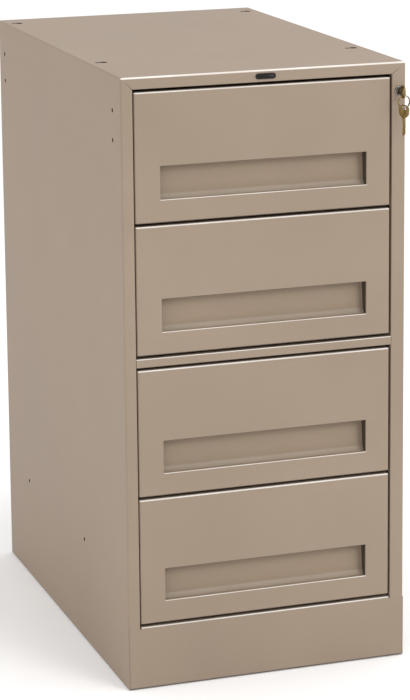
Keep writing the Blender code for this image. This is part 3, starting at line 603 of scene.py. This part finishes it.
def slide_member(name, low, high, web_is_low):
    """A channel profile with round shoulders, its web at one side and its lips at the other, carried
    along the slide's length."""
    web, lip = (low.x, high.x) if web_is_low else (high.x, low.x)
    corners = [(lip, low.z), (web, low.z), (web, high.z), (lip, high.z)]
    if web_is_low:
        corners = corners[::-1]
    radius = min(SHOULDER_RADIUS, (high.z - low.z) * 0.1)
    profile = folded_line(corners, radius, 5, 0.0005)[::-1]
    return put_in_mesh(name, [(carried(profile, [low.y, high.y], "y"), False, False, None)])


def ball_grid(centre, radius, rings=6, sides=8):
    """A ball: radius times the sine of the angle from the pole, round the pole."""
    polar = np.linspace(0, pi, rings + 1)[:, None]
    round_it = np.linspace(0, 2 * pi, sides, endpoint=False)[None, :]
    out = np.sin(polar)
    points = [out * np.cos(round_it), out * np.sin(round_it), np.cos(polar) + 0 * round_it]
    return np.array(centre) + radius * np.stack(points, axis=-1)


def ball_row(name, x, z_middle, z_reach, radius, start):
    """Two rows of balls, above and below the middle of the slide."""
    grids = [(ball_grid((x, start + BALL_PITCH * i, z_middle + side * z_reach), radius), False, True, None)
             for side in (-1, 1) for i in range(BALL_COUNT)]
    return outward(put_in_mesh(name, grids))


def ball_cage(name, x, z_middle, z_reach, width, start):
    """Two thin strips that keep the balls apart, each a flat closed loop carried along the slide and
    drawn in to its middle at both ends."""
    half, thin = width / 2, 0.0004
    end = start + BALL_PITCH * BALL_COUNT
    loop = np.array([(-half, -thin), (half, -thin), (half, thin), (-half, thin), (-half, -thin)])
    grids = []
    for side in (-1, 1):
        middle = (x, z_middle + side * z_reach)
        strip = carried(loop + middle, [start, start, end, end], "y")
        strip[:, [0, 3], 0], strip[:, [0, 3], 2] = middle
        grids.append((strip, False, False, None))
    return outward(put_in_mesh(name, grids))


for number in (1, 2, 3, 4):
    for side, inward in (("left", 1), ("right", -1)):
        name = f"slide_{number}_{side}"
        middle_body = f"drawer_{number}_middle_slides"
        members = (("cabinet", "cabinet", inward > 0), ("middle", middle_body, inward > 0),
                   ("drawer", f"drawer_{number}", inward < 0))
        for member, body, web_is_low in members:
            node = f"drawer_{number}_{member}_slide_{side}"
            piece(f"{name}_{member}", slide_member(name, *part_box(node), web_is_low), zinc_strip, body,
                  (node,), SLIDE_WALL)
        outer_low, outer_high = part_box(f"drawer_{number}_cabinet_slide_{side}")
        middle_low, middle_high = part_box(f"drawer_{number}_middle_slide_{side}")
        z_middle = (outer_low.z + outer_high.z) / 2
        x_race = (middle_low.x + middle_high.x) / 2
        for race, size in RACES.items():
            first = middle_low.y + size["start"]
            balls = ball_row(f"{name}_{race}_balls", x_race, z_middle, size["reach"], size["ball"], first)
            piece(f"{name}_{race}_balls", balls, ball_steel, middle_body, (), 0.0, 80.0)
            cage = ball_cage(f"{name}_{race}_cage", x_race, z_middle, size["reach"], size["cage"],
                             first - CAGE_LEAD)
            piece(f"{name}_{race}_cage", cage, zinc_strip, middle_body, ())

# ---- Drawers -----------------------------------------------------------------------------------------
# Each drawer is a folded steel tray with hemmed sides, spot-welded to a front: a shallow pan with a long
# opening, behind which a pressed scoop makes the finger pull.

PULL_BOTTOM = 0.0353
PULL_HEIGHT = 0.0510
PULL_WIDTH = 0.3325
OPEN_CENTRE = (OPEN_LEFT + OPEN_RIGHT) / 2
FRONT_RADIUS = 0.0027
LIP_RADIUS = 0.0013
SCOOP_PLAY = 0.0015
SCOOP_HEADROOM = 0.0030
SCOOP_MOUTH = 0.0021
SCOOP_FLOOR = 0.0165
SCOOP_DEPTH = 0.0216
SCOOP_RADIUS = 0.0032
SCOOP_SWEEP = 0.0100
SCOOP_WALL = 0.0008
TRAY_HALF = 0.1950
TRAY_BOTTOM = 0.012
TRAY_TOP = 0.162
TRAY_FOLD = 0.0025
HEM = 0.0016
LAP = 0.0014


def drawer_front(name, low, high):
    """Rounded rectangles from the rim of the folded edge, round it, across the face to the pull opening,
    and round the opening's lip to just behind the sheet."""
    pull = (OPEN_CENTRE - PULL_WIDTH / 2, OPEN_CENTRE + PULL_WIDTH / 2,
            low.z + PULL_BOTTOM, low.z + PULL_BOTTOM + PULL_HEIGHT)
    arc_in, arc_y = quarter(FRONT_RADIUS, 7, 180, 270)
    y = [high.y, FACE + FRONT_RADIUS + SUPPORT] + list(FACE + FRONT_RADIUS + arc_y)
    inset = [0.0, 0.0] + list(FRONT_RADIUS + arc_in)
    y, inset = np.array(y + [FACE]), np.array(inset + [FRONT_RADIUS + SUPPORT])
    outer = ring(low.x + inset, high.x - inset, low.z + inset, high.z - inset,
                 np.maximum(0.0020 - inset * 0.6, 0.0004), 4)
    lip_out, lip_y = quarter(LIP_RADIUS, 6, 90, 0)
    lip = np.array([LIP_RADIUS + SUPPORT] + list(LIP_RADIUS - lip_out) + [0.0])
    lip_depth = np.array([FACE] + list(FACE + LIP_RADIUS - lip_y) + [FACE + 0.0024])
    inner = ring(pull[0] - lip, pull[1] + lip, pull[2] - lip, pull[3] + lip, 0.0009 + lip * 0.8, 4)
    points = set_back(np.concatenate([outer, inner]), np.concatenate([y, lip_depth]))
    return put_in_mesh(name, [(points, False, True, None)])


def pull_scoop(name, low):
    """A closed-sided scoop: the profile runs back along the floor, up a leaning back and forward along the
    ceiling. Towards each end it stays in one plane while its depth is drawn in to the mouth, the last
    stretch on a quarter circle, which makes the upright end walls and their round feet."""
    bottom = low.z + PULL_BOTTOM - SCOOP_PLAY
    top = low.z + PULL_BOTTOM + PULL_HEIGHT + SCOOP_HEADROOM
    mouth, back = FACE + SCOOP_MOUTH, FACE + SCOOP_DEPTH
    profile = folded_line([(mouth, bottom), (FACE + SCOOP_FLOOR, bottom), (back, top), (mouth, top)],
                          (SCOOP_SWEEP, SCOOP_RADIUS), 9)
    angle = np.linspace(0, pi / 2, 8)
    foot = SCOOP_RADIUS / (back - mouth)
    share = np.concatenate([[0.0, 0.3, 0.6], 1 - foot * (1 - np.sin(angle)), [1.0]])
    inwards = np.concatenate([[0.0, 0.0, 0.0], SCOOP_RADIUS * (1 - np.cos(angle)), [SCOOP_RADIUS + SUPPORT]])
    left, right = OPEN_CENTRE - PULL_WIDTH / 2 - SCOOP_PLAY, OPEN_CENTRE + PULL_WIDTH / 2 + SCOOP_PLAY
    x = np.concatenate([left + inwards, (right - inwards)[::-1]])
    y = mouth + (profile[:, :1] - mouth) * np.concatenate([share, share[::-1]])
    points = np.stack([np.broadcast_to(x, y.shape), y, np.broadcast_to(profile[:, 1:], y.shape)], axis=-1)
    return put_in_mesh(name, [(points[:, ::-1], False, False, None)])


def drawer_tray(name, low, high, front_low, front_high):
    """Three sheets: a wide U with hemmed edges carried from front to back, a back wall with a hem, and a
    plate that closes the front's back."""
    wall_low, wall_high = front_low.z + TRAY_BOTTOM, front_low.z + TRAY_TOP
    left, right = OPEN_CENTRE - TRAY_HALF, OPEN_CENTRE + TRAY_HALF
    turn = np.radians(np.linspace(180, -60, 9))
    curl = np.stack([left + HEM + HEM * np.cos(turn), wall_high - HEM + HEM * np.sin(turn)], axis=-1)
    floor_line = folded_line([(left, wall_high - HEM), (left, wall_low), (right, wall_low),
                              (right, wall_high - HEM)], TRAY_FOLD)
    far_curl = curl[::-1] * (-1, 1) + (2 * OPEN_CENTRE, 0)
    profile = np.concatenate([curl[::-1], floor_line[1:-1], far_curl[::-1]])[::-1]
    body = carried(profile, [low.y + LAP, high.y - 0.0002], "y")
    turn = np.radians(np.linspace(0, 240, 9))
    curl = np.stack([high.y - HEM + HEM * np.cos(turn), wall_high - HEM + HEM * np.sin(turn)], axis=-1)
    back_line = np.concatenate([[(high.y, wall_low + LAP)], curl])[::-1]
    back_wall = carried(back_line, [left + LAP, right - LAP], "x")
    inset = np.array([0.0015, 0.0060, 0.0990])
    plate = ring(front_low.x + inset, front_high.x - inset, front_low.z + inset, front_high.z - inset,
                 0.0002, 3)
    return put_in_mesh(name, [(body, False, False, None), (back_wall, False, False, None),
                              (set_back(plate, low.y), False, True, None)])


# Scoop enamel: painted shade darkens its end walls that face sideways, and its folds keep only a faint
# painted highlight.
recess_enamel = baked_enamel("recess_enamel", (0.323, 0.249, 0.181), 0.50, 0.8, 0.12, 0.85)

for number in (1, 2, 3, 4):
    body = f"drawer_{number}"
    front_low, front_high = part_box(f"{body}_front")
    tray_low, tray_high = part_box(f"{body}_tray")
    piece(f"front_{number}", drawer_front(f"front_{number}", front_low, front_high), tan_enamel, body,
          (f"{body}_front",), SHEET)
    piece(f"pull_{number}", pull_scoop(f"pull_{number}", front_low), recess_enamel, body,
          (f"{body}_pull_cup",), SCOOP_WALL, 60.0)
    tray = drawer_tray(f"tray_{number}", tray_low, tray_high, front_low, front_high)
    piece(f"tray_{number}", tray, inner_enamel, body, (f"{body}_tray",), SHEET)

# ---- Nameplate and lock ------------------------------------------------------------------------------
# A blank black plate is riveted to the header. The lock is a nickel-plated die-cast barrel through the
# right stile, held by a nut, with a turning plug whose crank lifts the flat bar that bolts the drawers.


def glossy_black():
    """Gloss black lacquer: a faint orange peel and a haze of dust in the roughness."""
    material, shader, place = start_material("black_plate")
    haze = place.noise(320.0, 3.0)
    bump = place.node("ShaderNodeBump", None,
                      {"Strength": 0.3, "Distance": 0.00003, "Height": place.noise(700.0, 1.0)})
    feed(shader, Base_Color=haze.blend((0.006, 0.005, 0.005, 1), (0.016, 0.014, 0.012, 1)),
         Roughness=0.22 + haze * 0.18, Normal=bump, IOR=1.3)
    return material


def nickel_plate():
    """Bright nickel over a die casting: soft waves in the normal, fine handling scratches as stretched
    noise in the roughness, and a slightly warm, cloudy colour."""
    material, shader, place = start_material("nickel")
    cloud = place.noise(240.0, 3.0)
    scratch = place.stretched(1.0, 1.0, 0.15).noise(2600.0, 2.0).rise(0.52, 0.72)
    waves = place.noise(900.0, 1.0) + scratch * 0.3
    bump = place.node("ShaderNodeBump", None, {"Strength": 0.4, "Distance": 0.00003, "Height": waves})
    feed(shader, Base_Color=cloud.blend((0.17, 0.165, 0.155, 1), (0.36, 0.35, 0.33, 1)), Metallic=1.0,
         Roughness=0.12 + cloud * 0.10 + scratch * 0.12, Normal=bump)
    return material


black_plate = glossy_black()
nickel = nickel_plate()
PLATE_BULGE = 0.0003
BARREL_RADIUS = 0.0063
THREAD_DEPTH = 0.00035
THREAD_POINTS = 40


def name_plate():
    """Rounded rectangles from the plate's back edge, round its bevel, over a raised rim and down to a
    flat field whose middle closes it; the back is closed the same way."""
    low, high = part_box("nameplate")
    inset = np.array([0.0040, 0.0, 0.0, 0.0002, 0.0005, 0.0008, 0.0010, 0.0044])
    depth = np.array([high.y, high.y, low.y + 0.0004, low.y + 0.0001, low.y, low.y + 0.00006,
                      low.y + PLATE_BULGE, low.y + PLATE_BULGE])
    half = (high.z - low.z) / 2
    loops = ring(low.x + inset, high.x - inset, low.z + inset, high.z - inset,
                 np.maximum(half - inset, 0.00001) * 0.97, 8)
    points = set_back(loops, depth)
    return outward(put_in_mesh("name_plate", [(points, False, True, None), *flat_caps(points)]))


def flat_caps(points):
    """Closes the first and the last loop of a grid, each with a second loop at its own middle."""
    return [(np.stack([loop, np.broadcast_to(loop.mean(axis=0), loop.shape)]), False, True, None)
            for loop in (points[0], points[-1])]


def turned(profile, sides=48):
    """A lathe form on the lock's axis: each (radius, y) of the profile carried round the axis."""
    profile = np.asarray(profile, float)
    angle = np.linspace(0, 2 * pi, sides, endpoint=False)[None, :]
    x = LOCK_X + profile[:, :1] * np.cos(angle)
    z = LOCK_Z + profile[:, :1] * np.sin(angle)
    return np.stack([x, np.broadcast_to(profile[:, 1:], x.shape), z], axis=-1)


def lock_barrel():
    """The bezel's rolled rim, its flange on the stile, and the threaded barrel behind, as one closed
    profile; the thread is a sawtooth on the barrel's radius."""
    front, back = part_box("lock_housing")[0].y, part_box("lock_housing")[1].y
    rim = [(0.0050, front + 0.0016), (0.0052, front + 0.0006), (0.0056, front + 0.0001),
           (0.0061, front), (0.0067, front + 0.0003), (0.0072, front + 0.0010),
           (0.0075, front + 0.0018), (0.0075, FACE - 0.0001)]
    thread_y = np.linspace(FACE + 0.0018, back - 0.0012, THREAD_POINTS)
    thread = np.stack([BARREL_RADIUS - THREAD_DEPTH * (np.arange(THREAD_POINTS) % 2), thread_y], axis=-1)
    rest = [(BARREL_RADIUS, FACE - 0.0001), (BARREL_RADIUS, FACE + 0.0015), *thread,
            (0.0060, back - 0.0004), (0.0058, back), (0.0050, back)]
    return outward(put_in_mesh("lock_barrel", [(turned(rim + rest), True, True, None)]))


def lock_plug():
    """A circle that becomes the keyway's rounded slot: from the plug's tail along its side, over its
    bevelled, faintly dished face, and down the keyway's walls to its end."""
    front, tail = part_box("lock_plug")[0].y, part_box("lock_plug")[1].y
    radius, half_width, half_height = 0.0048, 0.00125, 0.0038
    side = np.array([(radius, tail), (radius, front + 0.0004), (radius - 0.0004, front)])
    circles = ring(-side[:, 0], side[:, 0], -side[:, 0], side[:, 0], side[:, 0], 8)
    mouth = np.array([(0.0003, front + 0.00005), (0.0, front + 0.0004), (0.0, front + 0.0225)])
    slots = ring(-half_width - mouth[:, 0], half_width + mouth[:, 0], -half_height - mouth[:, 0],
                 half_height + mouth[:, 0], 0.0005 + mouth[:, 0], 8)
    loops = np.concatenate([circles, slots]) + (LOCK_X, LOCK_Z)
    depth = np.concatenate([side[:, 1], mouth[:, 1]])
    points = set_back(loops, depth)
    return outward(put_in_mesh("lock_plug", [(points, False, True, None), *flat_caps(points)]))


piece("name_plate", name_plate(), black_plate, "cabinet", ("nameplate",))
piece("lock_barrel", lock_barrel(), nickel, "cabinet", ("lock_housing",), 0.0, 30.0)
piece("plug", lock_plug(), nickel, "lock_core", ("lock_plug",), 0.0, 30.0)
coat(("lock_nut", "lock_cam", "lock_bar"), zinc_plate("zinc_stampings", (1.0, 1.0, 0.05)))

# ---- Keys and split ring -----------------------------------------------------------------------------
# Two flat brass keys, blanked and milled: one stands in the lock, edge on, and holds a spring-wire split
# ring by the slot in its bow; the other hangs from the ring.

KEY_LENGTH = 0.0480
BOW_WIDTH = 0.0200
BOW_LENGTH = 0.0208
KEY_HALF = 0.0010
BOW_CORNER = 0.0072
SHOULDER_START = 0.0115
SHOULDER_LENGTH = 0.0093
SLOT_FROM, SLOT_TO = -0.0071, -0.0019
SLOT_CORNER = 0.0023
BLADE_HALF = 0.0027
BLADE_START = 0.0190
BLADE_STATIONS = 59
CUTS_FROM, CUTS_TO = 0.0035, 0.0215
CUT_DEPTH = 0.0016
CUT_PITCH = 0.0046
TIP_START = 0.0242
TIP_LENGTH = 0.0030
RING_WIRE = 0.00070
RING_RADIUS = 0.00985
RING_TURN = radians(8)
WIRE_FROM, WIRE_TO = radians(100), radians(815)
SPARE_TURN = radians(-62)


def handled_brass():
    """Bare brass: milling lines as noise stretched along the key, darker tarnish in cloudy patches and a
    brighter, smoother polish where it is handled."""
    material, shader, place = start_material("brass")
    tarnish = place.noise(210.0, 4.0, 0.6).rise(0.36, 0.66)
    lines = place.stretched(1.0, 1.0, 0.08).noise(3200.0, 2.0)
    bump = place.node("ShaderNodeBump", None, {"Strength": 0.45, "Distance": 0.00003, "Height": lines})
    feed(shader, Base_Color=tarnish.blend((0.36, 0.27, 0.115, 1), (0.13, 0.095, 0.035, 1)), Metallic=1.0,
         Roughness=0.20 + tarnish * 0.16 + lines * 0.06, Normal=bump)
    return material


brass = handled_brass()


def key_bow(slot_half):
    """A plate between a rounded outline, drawn in towards the blade, and a slot near its top: loops from
    the slot's wall over the front bevel, the outline's edge and the back, closed on itself. Gives across,
    along and thickness."""
    rows = [("slot", 0.0, 0.0007), ("slot", 0.0002, KEY_HALF), ("edge", 0.0003, KEY_HALF),
            ("edge", 0.0, 0.0007), ("edge", 0.0, -0.0007), ("edge", 0.0003, -KEY_HALF),
            ("slot", 0.0002, -KEY_HALF), ("slot", 0.0, -0.0007)]
    loops = []
    for kind, inset, height in rows:
        if kind == "edge":
            half = BOW_WIDTH / 2 - inset
            loop = ring(-half, half, -BOW_LENGTH + inset, -inset, BOW_CORNER - inset, 7)[0]
            drawn_in = np.clip((-loop[:, 1] - SHOULDER_START) / SHOULDER_LENGTH, 0, 1)
            loop = loop * np.stack([1 - 0.62 * drawn_in ** 1.7, np.ones(len(loop))], axis=-1)
        else:
            loop = ring(-slot_half - inset, slot_half + inset, SLOT_FROM - inset, SLOT_TO + inset,
                        SLOT_CORNER + inset, 7)[0]
        loops.append(np.column_stack([loop, np.full(len(loop), height)]))
    return np.stack(loops)


def key_blade():
    """Stations along the blade, each a closed section: bevelled edges, full thickness and a milled groove
    on both sides. The cut edge dips in flat-bottomed notches, and the tip is drawn to a blunt point."""
    along = np.linspace(-BLADE_START, -KEY_LENGTH, BLADE_STATIONS)
    depth_in = -along - BOW_LENGTH
    wave = np.abs(((depth_in - 0.0030) / CUT_PITCH) % 1 - 0.5) * 2
    cut = CUT_DEPTH * np.clip(1.7 - 2.4 * wave, 0, 1) * (depth_in > CUTS_FROM) * (depth_in < CUTS_TO)
    tip = np.clip((depth_in - TIP_START) / TIP_LENGTH, 0, 1)
    left = -BLADE_HALF + cut + tip * 0.0018
    right = BLADE_HALF - tip * 0.0030
    share = np.array([0.0, 0.06, 0.30, 0.38, 0.62, 0.70, 0.94, 1.0])
    height = np.array([0.45, 1.0, 1.0, 0.45, 0.45, 1.0, 1.0, 0.45]) * KEY_HALF
    width = left[:, None] + (right - left)[:, None] * share
    front = np.stack([width, np.broadcast_to(along[:, None], width.shape),
                      np.broadcast_to(height, width.shape)], axis=-1)
    back = front[:, ::-1] * (1, 1, -1)
    return np.concatenate([front, back], axis=1)


def key_mesh(name, origin, across, along, slot_half):
    """The bow and the blade placed in space: across and along are the key's own directions."""
    across, along = np.array(across, float), np.array(along, float)
    through = np.cross(across, along)
    basis = np.stack([across, along, through])
    bow, blade = (np.array(origin) + grid @ basis for grid in (key_bow(slot_half), key_blade()))
    grids = [(bow, True, True, None), (blade, False, True, None), *flat_caps(blade)]
    return outward(put_in_mesh(name, grids))


def split_ring():
    """Two turns of wire: a helix that stays in its plane for most of each turn and crosses over near the
    ends, with a round section carried along it and its cut ends closed."""
    low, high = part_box("key_ring")
    middle = np.array((low + high) / 2)
    wide = np.array((cos(RING_TURN), sin(RING_TURN), 0))
    out = np.array((-sin(RING_TURN), cos(RING_TURN), 0))
    angle = np.linspace(WIRE_FROM, WIRE_TO, 150)
    share = (angle - angle[0]) / (angle[-1] - angle[0])
    shift = np.clip((share - 0.46) / 0.08, 0, 1)
    offset = (shift * shift * (3 - 2 * shift) - 0.5) * 2 * RING_WIRE * 1.04
    radial = np.cos(angle)[:, None] * wide + np.sin(angle)[:, None] * np.array((0, 0, 1))
    path = middle + RING_RADIUS * radial + offset[:, None] * out
    section = np.linspace(0, 2 * pi, 10, endpoint=False)
    tube = path[:, None] + RING_WIRE * (np.cos(section)[None, :, None] * radial[:, None]
                                        + np.sin(section)[None, :, None] * out)
    return outward(put_in_mesh("split_ring", [(tube, False, True, None), *flat_caps(tube)]))


turned_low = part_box("key_in_lock")[0]
spare_low, spare_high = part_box("spare_key")
key_in_lock = key_mesh("turned_key", (LOCK_X, turned_low.y, LOCK_Z), (0, 0, 1), (0, -1, 0), 0.0061)
spare_top = ((spare_low.x + spare_high.x) / 2, (spare_low.y + spare_high.y) / 2, spare_high.z)
spare = key_mesh("hanging_key", spare_top, (cos(SPARE_TURN), sin(SPARE_TURN), 0), (0, 0, 1), 0.0046)
piece("turned_key", key_in_lock, brass, "turned_key", ("key_in_lock",), 0.0, 28.0)
piece("split_ring", split_ring(), brass, "split_ring", ("key_ring",), 0.0, 50.0)
piece("hanging_key", spare, brass, "hanging_key", ("spare_key",), 0.0, 28.0)

# ---- Levelling glides --------------------------------------------------------------------------------
# Moulded black nylon feet on threaded studs, screwed up into the channels along the cabinet's foot. They
# carry its weight and set it level.


def moulded_nylon():
    """Black nylon with a fine moulded grain and scuffs that grey the foot's edge."""
    material, shader, place = start_material("nylon")
    grain = place.noise(1500.0, 2.0)
    scuff = place.noise(180.0, 3.0).rise(0.5, 0.7)
    bump = place.node("ShaderNodeBump", None, {"Strength": 0.5, "Distance": 0.00005, "Height": grain})
    feed(shader, Base_Color=scuff.blend((0.020, 0.020, 0.021, 1), (0.060, 0.058, 0.055, 1)),
         Roughness=0.52 + scuff * 0.2, Normal=bump)
    return material


nylon = moulded_nylon()
STUD_RADIUS = 0.0040
STUD_THREAD = 0.0003
STUD_POINTS = 24


def glide(name, low, high):
    """A domed foot, a waist and a threaded stud: one profile turned about the glide's own axis."""
    foot = (high.x - low.x) / 2
    stud_radius = STUD_RADIUS - STUD_THREAD * (np.arange(STUD_POINTS) % 2)
    stud = np.stack([stud_radius, np.linspace(0.0150, high.z - 0.001, STUD_POINTS)], axis=-1)
    profile = np.array([(0.0, 0.0), (foot * 0.82, 0.0), (foot * 0.96, 0.0008), (foot, 0.0022), (foot, 0.0052),
                        (foot * 0.95, 0.0066), (0.0072, 0.0092), (0.0066, 0.0110), (0.0042, 0.0130),
                        *stud, (0.0030, high.z), (0.0, high.z)])
    angle = np.linspace(0, 2 * pi, 36, endpoint=False)[None, :]
    x = (low.x + high.x) / 2 + profile[:, :1] * np.cos(angle)
    y = (low.y + high.y) / 2 + profile[:, :1] * np.sin(angle)
    points = np.stack([x, y, np.broadcast_to(profile[:, 1:], x.shape)], axis=-1)
    return outward(put_in_mesh(name, [(points, False, True, None)]))


for end in ("front", "rear"):
    for side in ("left", "right"):
        name = f"glide_{end}_{side}"
        foot = glide(name, *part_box(name))
        piece(f"foot_{end}_{side}", foot, nylon, "cabinet", (name,))

# ---- Camera, floor and lights ------------------------------------------------------------------------
# A long lens from the left of the front, just above the top. The room is white and brighter above, with
# one softbox overhead, a wide one high on the right of the front, and a weak warm one low on the left.

EYE = Vector((-1.3776, -4.1267, 1.561))
YAW, PITCH, ROLL = radians(18.71), radians(11.47), radians(0.53)
look = Vector((sin(YAW) * cos(PITCH), cos(YAW) * cos(PITCH), -sin(PITCH)))
level = Vector((cos(YAW), -sin(YAW), 0))
down = look.cross(level)
across = level * cos(ROLL) + down * sin(ROLL)
below = down * cos(ROLL) - level * sin(ROLL)
camera = bpy.data.objects.new("camera", bpy.data.cameras.new("camera"))
camera.data.sensor_width = 36.0
camera.data.lens = 139.0
camera.data.shift_x = -0.002
camera.data.shift_y = -0.20
camera.data.clip_end = 60.0
camera.matrix_world = Matrix.Translation(EYE) @ Matrix((across, -below, -look)).transposed().to_4x4()
bpy.context.scene.collection.objects.link(camera)
bpy.context.scene.camera = camera

floor_material, floor_shader, floor_place = start_material("pale_floor")
floor_tone = floor_place.noise(1.3, 2.0) * 0.1
feed(floor_shader, Base_Color=floor_tone.blend((0.97, 0.97, 0.97, 1), (0.95, 0.95, 0.948, 1)), Roughness=0.9)
floor_mesh = bpy.data.meshes.new("floor")
FLOOR_HALF = 30
floor_corners = [(x * FLOOR_HALF, y * FLOOR_HALF, 0) for x, y in ((-1, -1), (1, -1), (1, 1), (-1, 1))]
floor_mesh.from_pydata(floor_corners, [], [(0, 1, 2, 3)])
floor_mesh.materials.append(floor_material)
floor = bpy.data.objects.new("floor", floor_mesh)
bpy.context.scene.collection.objects.link(floor)

room = bpy.data.worlds.new("room")
room.use_nodes = True
direction = Wire(room.node_tree).node("ShaderNodeTexCoord")
height = direction.axis(2).rise(0.02, 1.0)
backdrop = room.node_tree.nodes["Background"]
walls = height.blend((0.58, 0.58, 0.58, 1), (1.3, 1.3, 1.31, 1))
room.node_tree.links.new(walls.socket, backdrop.inputs["Color"])
bpy.context.scene.world = room


def softbox(name, place, aim, width, height, power, colour=(1.0, 1.0, 1.0)):
    """A rectangular area light at a place, turned to face a point."""
    light = bpy.data.lights.new(name, "AREA")
    light.shape = "RECTANGLE"
    light.size, light.size_y, light.energy, light.color = width, height, power, colour
    box = bpy.data.objects.new(name, light)
    box.location = place
    box.rotation_euler = (Vector(aim) - Vector(place)).to_track_quat("-Z", "Y").to_euler()
    bpy.context.scene.collection.objects.link(box)


softbox("overhead", (0.3, -0.5, 3.6), (0, -0.1, 0.9), 0.7, 0.3, 12)
softbox("front", (2.0, -4.2, 3.0), (0, 0, 0.5), 2.0, 1.6, 76)
softbox("left", (-3.2, -0.5, 0.4), (-0.2, 0, 0.3), 1.5, 1.0, 9.5, (1.0, 0.78, 0.50))
bpy.context.scene.view_settings.view_transform = "Standard"
